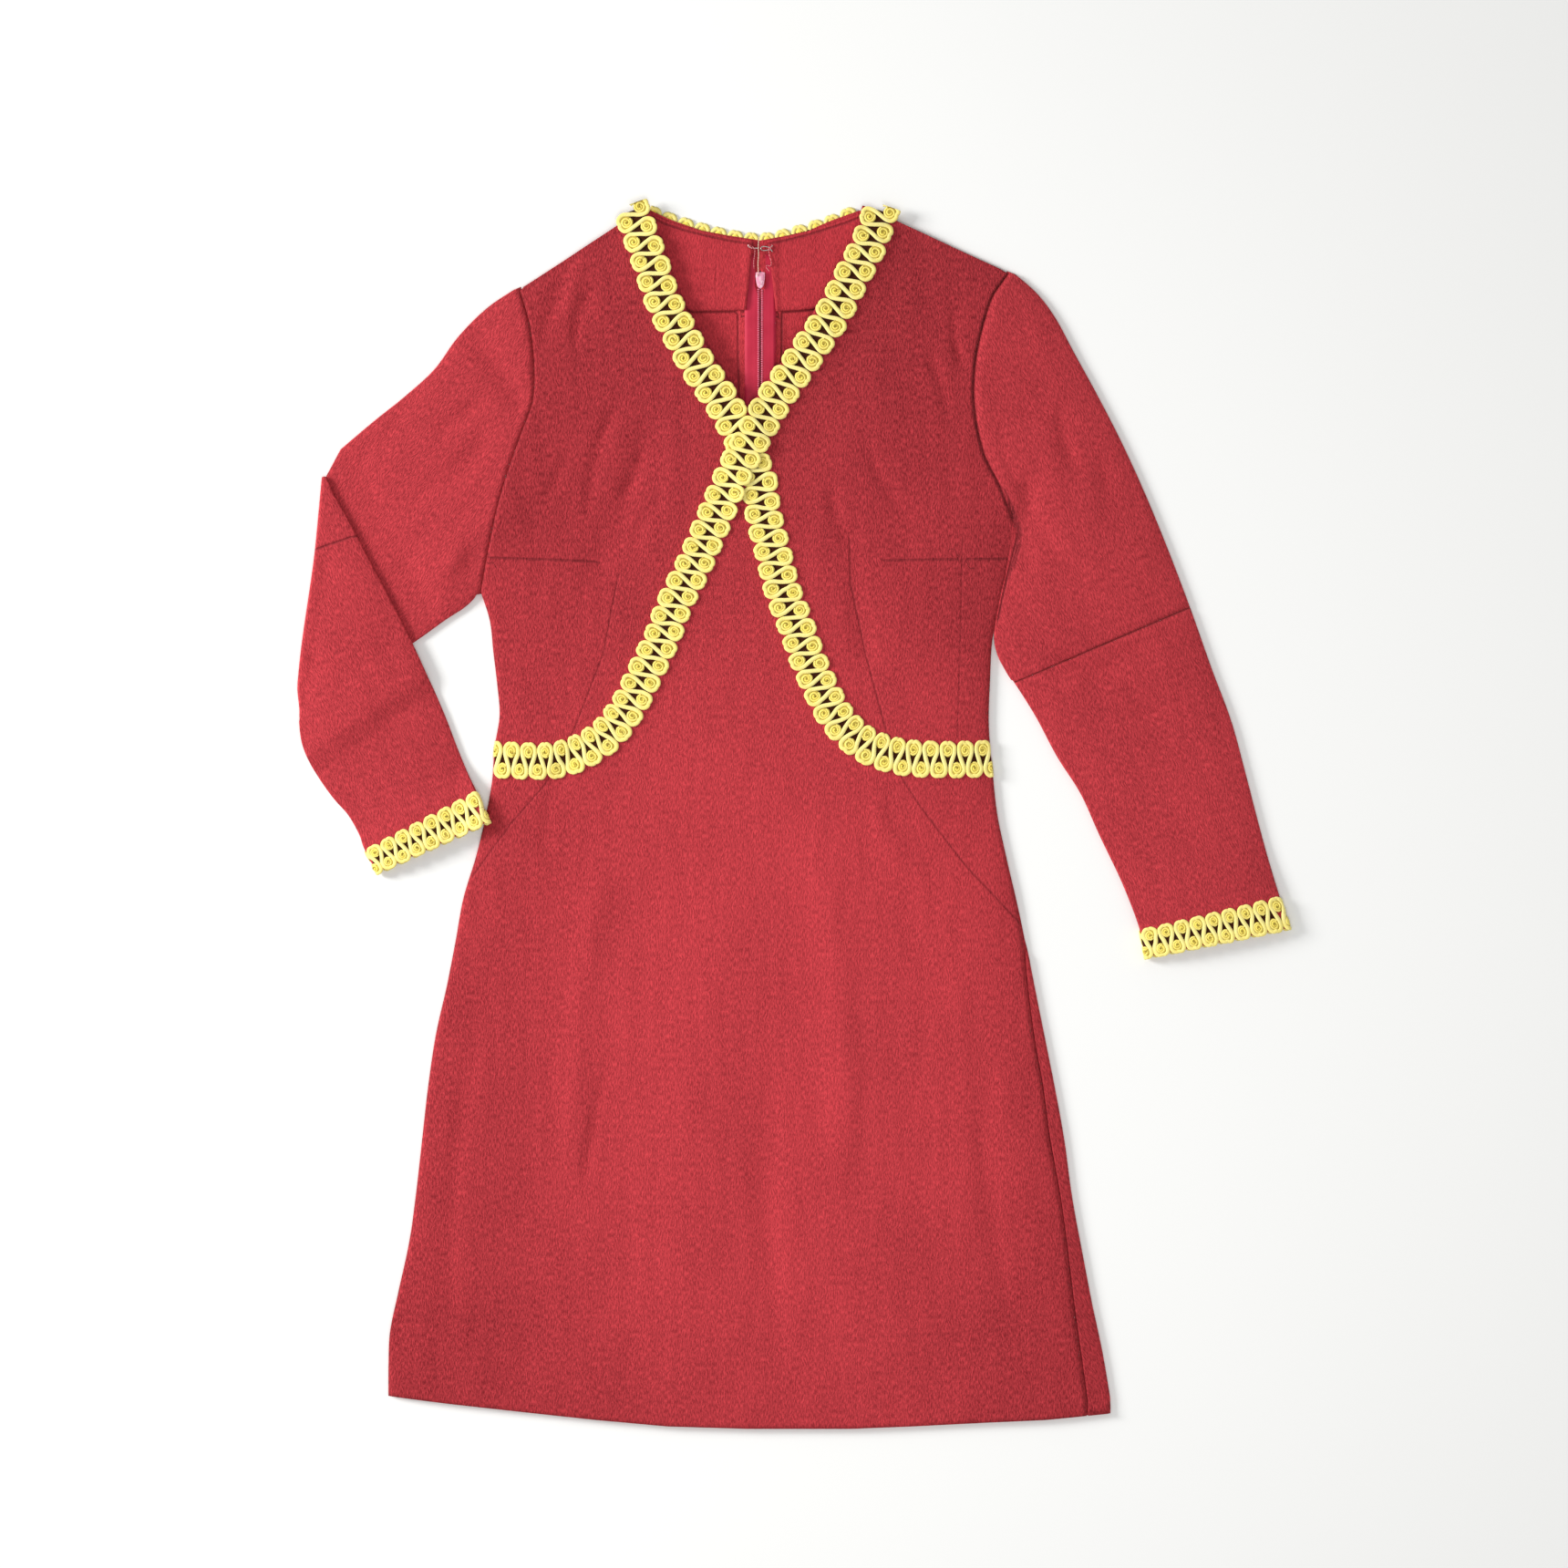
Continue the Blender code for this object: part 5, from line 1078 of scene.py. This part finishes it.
# Sections of the cords: share of the half width to the side, share of the height.
CORD_SECTION = ((-1.0, 0.12), (-0.97, 0.55), (-0.62, 0.94), (-0.12, 0.9), (0.4, 1.0),
                (0.86, 0.74), (1.0, 0.2), (0.0, 0.0))
CORE_SECTION = ((-1.0, 0.3), (-0.62, 0.92), (0.1, 1.0), (0.82, 0.72), (1.0, 0.25), (0.0, 0.0))
HEART_SECTION = ((-1.0, 0.45), (-0.6, 0.95), (0.0, 1.0), (0.6, 0.95), (1.0, 0.45), (0.0, 0.0))
CORD_MIDDLE = 0.42   # the top of the cord, in its map across
chance = np.random.default_rng(11)


def tube(path, half, high, section):
    """Points, faces and cord maps of a cord along a path of (s, t) in mm."""
    path = np.asarray(path, float)
    ahead = unit(np.gradient(path, axis=0))
    side = np.stack([-ahead[:, 1], ahead[:, 0]], -1)
    half = np.broadcast_to(half, len(path))[:, None]
    high = np.broadcast_to(high, len(path))[:, None]
    away, up = np.array(section).T
    places = path[:, None, :] + side[:, None, :] * (half * away)[..., None]
    points = np.concatenate([places, (high * up)[..., None]], -1).reshape(-1, 3)
    rows, count = len(path), len(section)
    faces = grid_faces(rows, count, ring=True)[:, (0, 3, 2, 1)]
    steps = np.linalg.norm(np.diff(path, axis=0), axis=1)
    along = np.concatenate([[0.0], np.cumsum(steps)])
    return points, faces, np.repeat(along, count), np.tile(np.linspace(0, 1, count), rows)


def smooth_path(points, steps):
    """A smooth curve through the points, with so many steps between each two."""
    points = np.asarray(points, float)
    rows = np.concatenate([[2 * points[0] - points[1]], points, [2 * points[-1] - points[-2]]])
    a, b, c, d = (p[:, None, :] for p in (rows[:-3], rows[1:-2], rows[2:-1], rows[3:]))
    fine = between(a, b, c, d, (np.arange(steps) / steps)[None, :, None])
    return np.concatenate([fine.reshape(-1, points.shape[1]), points[-1:]])


def braid_pieces(marks):
    """A strip of braid laid out flat: its points (s, t, h), faces and cord maps."""
    pitches = np.diff(marks)
    line = []
    for start, pitch in zip(marks, pitches):
        for flip in (1, -1):
            for share, t in LOOP:
                wobble = chance.normal(0.0, 0.13, 2)
                half_way = 0.5 if flip < 0 else 0.0
                line.append((start + (share + half_way) * pitch + wobble[0],
                             flip * t + wobble[1]))
    line.append((marks[-1], 0.0))
    path = smooth_path(line, 3)
    # Where two loops of the cord meet, one end rides a little higher.
    rise = 1.75 + 0.12 * np.sin(np.arange(len(path)) * 0.37)
    points, faces, along, across = tube(path, CORD_HALF, rise, CORD_SECTION)
    parts = [(points, faces, along, across, 0.35 * share_of(3.0, 11.0, np.abs(points[:, 1])))]
    for start, pitch in zip(marks, pitches):
        for flip in (1, -1):
            centre = start + (0.25 if flip > 0 else 0.75) * pitch
            # The coil's inner end is wound flat and fills the loop below its outer turns.
            down = np.linspace(-1.0, 1.0, 9)
            filled = np.stack([centre + 0 * down, flip * (7.3 + 5.3 * down)], -1)
            round_off = 0.345 * pitch * np.sqrt(1.02 - down * down)
            points, faces, along, across = tube(filled, round_off, 1.3, HEART_SECTION)
            # Held at 0.84 across, the heart takes much of the painted edge shade under the turns.
            parts.append((points, faces, along, 0 * across + 0.84, np.full(len(points), 1.0)))
            turns = chance.uniform(1.7, 2.0)
            start_at = -0.5 * math.pi - chance.uniform(0.3, 1.1)
            angle = np.linspace(0, turns, 28) * 2 * math.pi + start_at
            shrink = 1.0 - 0.84 * np.linspace(0.0, 1.0, 28) ** 1.35
            wide, tall = 0.25 * pitch, 4.25 * chance.uniform(0.97, 1.03)
            spiral = np.stack([centre + wide * shrink * np.cos(angle),
                               flip * (COIL_OUT + tall * shrink * np.sin(angle))], -1)
            high = 1.72 + 0.25 * (1.0 - shrink) + chance.normal(0, 0.05)
            points, faces, along, across = tube(spiral, 0.95, high, CORE_SECTION)
            depth = np.repeat(0.55 + 0.45 * (1.0 - shrink), len(CORE_SECTION))
            parts.append((points, faces, along + chance.uniform(0, 90), across, depth))
            # A few turns of olive silk hold the coil's heart.
            for k in range(2):
                heart = np.array([centre, flip * COIL_OUT]) + chance.normal(0, 0.7, 2)
                turn = chance.uniform(0, math.pi)
                reach = np.array([math.cos(turn), math.sin(turn)]) * chance.uniform(0.8, 1.3)
                stitch = heart + np.linspace(-1, 1, 4)[:, None] * reach
                points, faces, along, across = tube(stitch, 0.28, 2.12, CORE_SECTION)
                parts.append((points, faces, along, across, np.full(len(points), 2.0)))
    starts = np.cumsum([0] + [len(part[0]) for part in parts])
    return (np.concatenate([part[0] for part in parts]),
            np.concatenate([part[1] + first for part, first in zip(parts, starts)]),
            np.concatenate([np.stack([along * MM, across, depth], -1)
                            for _, _, along, across, depth in parts]))


def gimp_cord():
    """Cotton and rayon gimp: a wound cord, cream where it runs straight and deeper
    yellow in its coils, with fine slanting windings and painted shade at the cords' edges."""
    cord, tree, shader = new_material("cotton_rayon_gimp")
    run = node(tree, "SeparateXYZ", {"Vector": node(tree, "UVMap", uv_map="cord")})
    along, across = run.outputs["X"], run.outputs["Y"]
    heart = node(tree, "SeparateXYZ", {"Vector": node(tree, "UVMap", uv_map="heart")})
    depth = heart.outputs["X"]
    place = node(tree, "TexCoord").outputs["Object"]
    # Windings of 0.4 mm are drawn 0.9 mm apart.
    slant = maths(tree, "MULTIPLY_ADD", across, 0.0016, along)
    wave = maths(tree, "SINE", maths(tree, "MULTIPLY", slant, 2 * math.pi / 0.0009))
    fuzz = node(tree, "TexNoise", {"Vector": place, "Scale": 900.0, "Detail": 3.0})
    patches = node(tree, "TexNoise", {"Vector": place, "Scale": 110.0, "Detail": 2.0})
    tone = maths(tree, "MULTIPLY_ADD", wave, 0.10, fuzz)
    deep = maths(tree, "MULTIPLY_ADD", depth, 0.9, -0.25)
    base = blend(tree, maths(tree, "MULTIPLY_ADD", patches, 0.5, deep), "#FCEE96", "#F8E04A")
    # Across the cord its edges turn away and are darkened to a greener yellow: painted shade.
    edge = maths(tree, "ABSOLUTE", maths(tree, "SUBTRACT", across, CORD_MIDDLE))
    painted_edge_shade = blend(tree, ramp(tree, edge, 0.29, 0.46, 0.0, 0.92), base, "#A88C2C")
    grainy = blend(tree, ramp(tree, tone, 0.35, 0.75, 0.0, 0.22), painted_edge_shade, "#D9C04C")
    # The stitches of olive silk have a depth of 2 in the heart map.
    silk = maths(tree, "GREATER_THAN", depth, 1.5)
    bump = node(tree, "Bump", {"Height": tone, "Strength": 0.55, "Distance": 0.00035})
    fill(tree, shader, {
        "Base Color": blend(tree, silk, grainy, "#A08A24"), "Normal": bump,
        "Roughness": 0.72, "Sheen Weight": 0.2})
    return cord


def make_gap_shadow():
    """A dark brown ribbon under the gimp that shows in its gaps: painted shadow."""
    ground, tree, shader = new_material("painted_shadow_in_gaps")
    place = node(tree, "TexCoord").outputs["Object"]
    shadow_mottle = node(tree, "TexVoronoi", {"Vector": place, "Scale": 900.0})
    fill(tree, shader, {
        "Base Color": blend(tree, shadow_mottle, "#2A120A", "#4A2412"), "Roughness": 1.0,
        "Specular IOR Level": 0.1})
    return ground


gimp = gimp_cord()
gap_shade_sheet = make_gap_shadow()
SHADOW_RIBBON_HALF = 9.0


def shadow_ribbon(marks):
    """The ribbon of painted shadow in (s, t, h), under the middle of a strip of braid."""
    s = np.linspace(marks[0] + 5.0, marks[-1] - 4.0, 6 * len(marks))
    t = np.array((-SHADOW_RIBBON_HALF, 0.0, SHADOW_RIBBON_HALF))
    flat = np.stack([np.repeat(s, 3), np.tile(t, len(s)), np.full(3 * len(s), 0.12)], -1)
    return flat, grid_faces(len(s), 3)


def sew_braid(name, solid, marks, lay, face_down=False):
    """A strip of braid with units at the marks, over a narrow ribbon of painted shadow.

    lay carries flat places (s, t, h) onto the dress. Face down, the cord's own colour
    shows all over, without the painted shade at its edges.
    """
    points, faces, maps = braid_pieces(marks)
    if face_down:
        maps[:, 1] = CORD_MIDDLE
        faces = faces[:, ::-1]
    flat, quads = shadow_ribbon(marks)
    places = np.concatenate([lay(points), lay(flat)]) - (*MIDDLE, 0.0)
    corners = np.concatenate([faces, quads + len(points)])
    mesh = bpy.data.meshes.new(name)
    mesh.from_pydata(places * MM, [], corners.tolist())
    maps = np.concatenate([maps, np.zeros((len(flat), 3))])[corners.ravel()]
    for title, columns in (("cord", (0, 1)), ("heart", (2, 2))):
        layer = mesh.uv_layers.new(name=title)
        layer.data.foreach_set("uv", maps[:, columns].astype(np.float32).ravel())
    mesh.materials.append(gimp)
    mesh.materials.append(gap_shade_sheet)
    marks = np.zeros(len(mesh.polygons), np.int32)
    marks[len(faces):] = 1
    mesh.polygons.foreach_set("material_index", marks)
    mesh.shade_smooth()
    braid = in_scene(name, mesh)
    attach(braid, "dress")
    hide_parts(solid)


def along_route(route, strip):
    """Carries a flat strip of (s, t, h) onto a route in the plane: x, y and h."""
    fine = smooth_path(route, 16)
    steps = np.linalg.norm(np.diff(fine, axis=0), axis=1)
    long = np.concatenate([[0.0], np.cumsum(steps)])
    ahead = np.gradient(fine, long, axis=0)
    ahead = unit(np.stack([
        np.convolve(np.pad(ahead[:, i], 8, "edge"), np.ones(17) / 17, "valid")
        for i in (0, 1)], -1))
    s, t, h = strip.T
    x, y = (np.interp(s, long, fine[:, i]) for i in (0, 1))
    way_x, way_y = (np.interp(s, long, ahead[:, i]) for i in (0, 1))
    return np.stack([x - way_y * t, y + way_x * t, h], -1)


def unit_marks(route, pitches):
    """Where the units of a strip start, for a pitch that changes along its route."""
    total = np.linalg.norm(np.diff(smooth_path(route, 16), axis=0), axis=1).sum()
    shares, widths = zip(*pitches)
    marks = [0.0]
    while marks[-1] < total - 7.0:
        marks.append(marks[-1] + np.interp(marks[-1] / total, shares, widths))
    marks = np.array(marks)
    return marks * total / marks[-1]


LEFT_SHOULDER_ROUTE = (
    (-131, 487), (-115, 443), (-104, 410), (-89, 381), (-75, 356), (-58, 331), (-44, 306),
    (-36, 286), (-28, 268), (-24, 240), (-16, 208), (-9, 180), (2, 151), (12, 123), (24, 96),
    (38, 73), (59, 55), (87, 46), (122, 44), (162, 45))
RIGHT_SHOULDER_ROUTE = (
    (71.5, 487), (60, 455), (45, 426), (32, 400), (16, 376), (0, 353), (-16, 330), (-30, 305),
    (-44, 280), (-55, 256), (-68, 225), (-81, 196), (-95, 168), (-105, 141), (-118, 114),
    (-131, 88), (-148, 65), (-170, 50), (-196, 43), (-243, 44))


FRONT_PITCHES = (
    # share of the strip's length, length of a unit there
    (0.0, 16.8), (0.2, 16.4), (0.36, 15.2), (0.7, 15.0), (0.85, 14.0), (1, 14.0))
BRAID_SEAT = 0.62   # from the middle of the cloth to the back of the braid


def lay_on_front(strip, route, climb):
    """Lays a strip on the front; it climbs so far over the other where they cross."""
    x, y, h = along_route(route, strip).T
    crossing = 1.0 - share_of(13.0, 30.0, distance(x, y, LEFT_SHOULDER_ROUTE[3:12]))
    seat = top_mid(x, y) + BRAID_SEAT + climb * crossing
    # At the sides its ends turn down over the edge.
    past = np.maximum(edge_at(LEFT_SIDE, y) - x, x - edge_at(RIGHT_SIDE, y))
    past = np.maximum(np.where(y < 80, past, -1.0) + 0.6, 0.0)
    x = x - np.sign(x) * np.where(past > 0, past - 1.5 * (1.0 - np.exp(-past / 1.5)), 0.0)
    return np.stack([x, y, np.maximum(seat - 0.75 * past + h, 0.3)], -1)


for name, solid, route, climb in (
        ("braid_left_shoulder", "braid_from_left_shoulder", LEFT_SHOULDER_ROUTE, 0.0),
        ("braid_right_shoulder", "braid_from_right_shoulder", RIGHT_SHOULDER_ROUTE, 2.15)):
    sew_braid(name, solid, unit_marks(route, FRONT_PITCHES),
              lambda strip: lay_on_front(strip, route, climb))

# Round each cuff the strip is sewn end to end; under the wrist it is pressed flatter.
CUFF_BEND = 4.4     # length of braid that goes round each side of the wrist
CUFF_OUT = 1.35     # how far its back stands out there from the sleeve's edge
BRAID_WIDE = 30.4


def lay_round_cuff(strip, wrist, hem, top, bottom):
    """A ring of braid round a wrist: along the top, round, back under, and round."""
    wide = np.linalg.norm(wrist[1] - wrist[0])
    s = np.mod(strip[:, 0], 2 * (wide + CUFF_BEND))
    down = np.clip(0.5 - strip[:, 1] / BRAID_WIDE, -0.02, 1.02)[:, None]
    outer = wrist[0] + (hem[0] - wrist[0]) * down
    under = wrist[1] + (hem[1] - wrist[1]) * down
    on_top = np.clip(s / wide, 0, 1)
    below = np.clip((s - wide - CUFF_BEND) / wide, 0, 1)
    first_bend = np.clip((s - wide) / CUFF_BEND, 0, 1)
    last_bend = np.clip((s - 2 * wide - CUFF_BEND) / CUFF_BEND, 0, 1)
    share = np.where(s < wide + CUFF_BEND, on_top, 1.0 - below)[:, None]
    place = outer + (under - outer) * share
    high, low = top(*place.T), bottom(*place.T)
    turn = np.where(s < 2 * wide, first_bend, 1.0 - last_bend) * math.pi
    upward = np.cos(turn)
    out = np.sin(turn) * np.where(s < 2 * wide, 1.0, -1.0)
    height = strip[:, 2] * (0.78 + 0.22 * upward)
    place = place + unit(under - outer) * (out * (CUFF_OUT + height))[:, None]
    z = (high + low) / 2 + upward * ((high - low) / 2 + height)
    return np.concatenate([place, np.maximum(z, 0.06)[:, None]], 1)


for name, solid, table, units, top, bottom in (
        ("cuff_straight", "cuff_braid_straight", STRAIGHT_SLEEVE, 18,
         lambda x, y: top_mid(x, y) + BRAID_LIFT + WALL_HALF,
         lambda x, y: BACK_MID + BRAID_LIFT - WALL_HALF + 0 * x),
        ("cuff_folded", "cuff_braid_folded", FOREARM, 16,
         lambda x, y: forearm_top(x, y) + WALL_HALF,
         lambda x, y: forearm_floor(x, y) + BACK_MID + BRAID_LIFT - WALL_HALF)):
    wrist, hem = (table[k, :4].reshape(2, 2) for k in (-2, -1))
    total = 2 * (np.linalg.norm(wrist[1] - wrist[0]) + CUFF_BEND)
    sew_braid(name, solid, np.linspace(0.0, total, units + 1),
              lambda strip: lay_round_cuff(strip, wrist, hem, top, bottom))

# Behind the neck the braid is on the outside, so it lies face down under the backs.
BACK_NECK_ROUTE = ((-119, 473.5), (-91, 463.5), (-62, 455.5), (-28, 450.5), (0, 455.5),
                   (30, 464.5), (57, 475.5))


def lay_face_down(strip):
    """Lays the neck's strip on the table, pressed flat under the backs."""
    laid = along_route(BACK_NECK_ROUTE, strip)
    laid[:, 2] = 1.1 - laid[:, 2] * 0.44
    return laid


sew_braid("neck_braid", "back_neck_braid", unit_marks(BACK_NECK_ROUTE, ((0, 14.6), (1, 14.6))),
          lay_face_down, face_down=True)


# Floor, light and camera
# A plain pale table, soft light from all round with a little more from the upper
# left, and a camera straight above, as the photograph was taken.
bpy.ops.object.select_all(action="DESELECT")
bpy.ops.mesh.primitive_plane_add(size=12.0, location=(0, 0, -0.0005))
floor = bpy.context.object
floor.name = "table_top"
paper, tree, shader = new_material("white_paper")
fill(tree, shader, {"Base Color": linear("#F4F4F2"), "Roughness": 0.9})
floor.data.materials.append(paper)
floor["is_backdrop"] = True

world = bpy.data.worlds.new("room")
world.use_nodes = True
fill(world.node_tree, world.node_tree.nodes["Background"], {
    "Color": linear("#FFFFFF"), "Strength": 0.47})
bpy.context.scene.world = world
for name, place, size, power in (
        ("key", (0.05, -0.35, 1.7), 0.7, 9.0), ("window", (-3.3, 0.95, 1.36), 1.1, 154.0)):
    bpy.ops.object.light_add(type="AREA", location=place)
    lamp = bpy.context.object
    lamp.name = name
    lamp.data.size = size
    lamp.data.energy = power
    lamp.rotation_euler = Vector(place).to_track_quat("Z", "Y").to_euler()

CAMERA_HIGH = 2.5
PHOTO_WIDE = 1.2556   # metres of table across the photo
bpy.ops.object.camera_add(location=(-0.008645, 0.026545, CAMERA_HIGH), rotation=(0, 0, 0))
camera = bpy.context.object
camera.data.sensor_width = 36.0
camera.data.lens = 36.0 * CAMERA_HIGH / PHOTO_WIDE
camera.data.clip_end = 20.0
bpy.context.scene.camera = camera
bpy.context.scene.view_settings.view_transform = "Standard"

low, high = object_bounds()
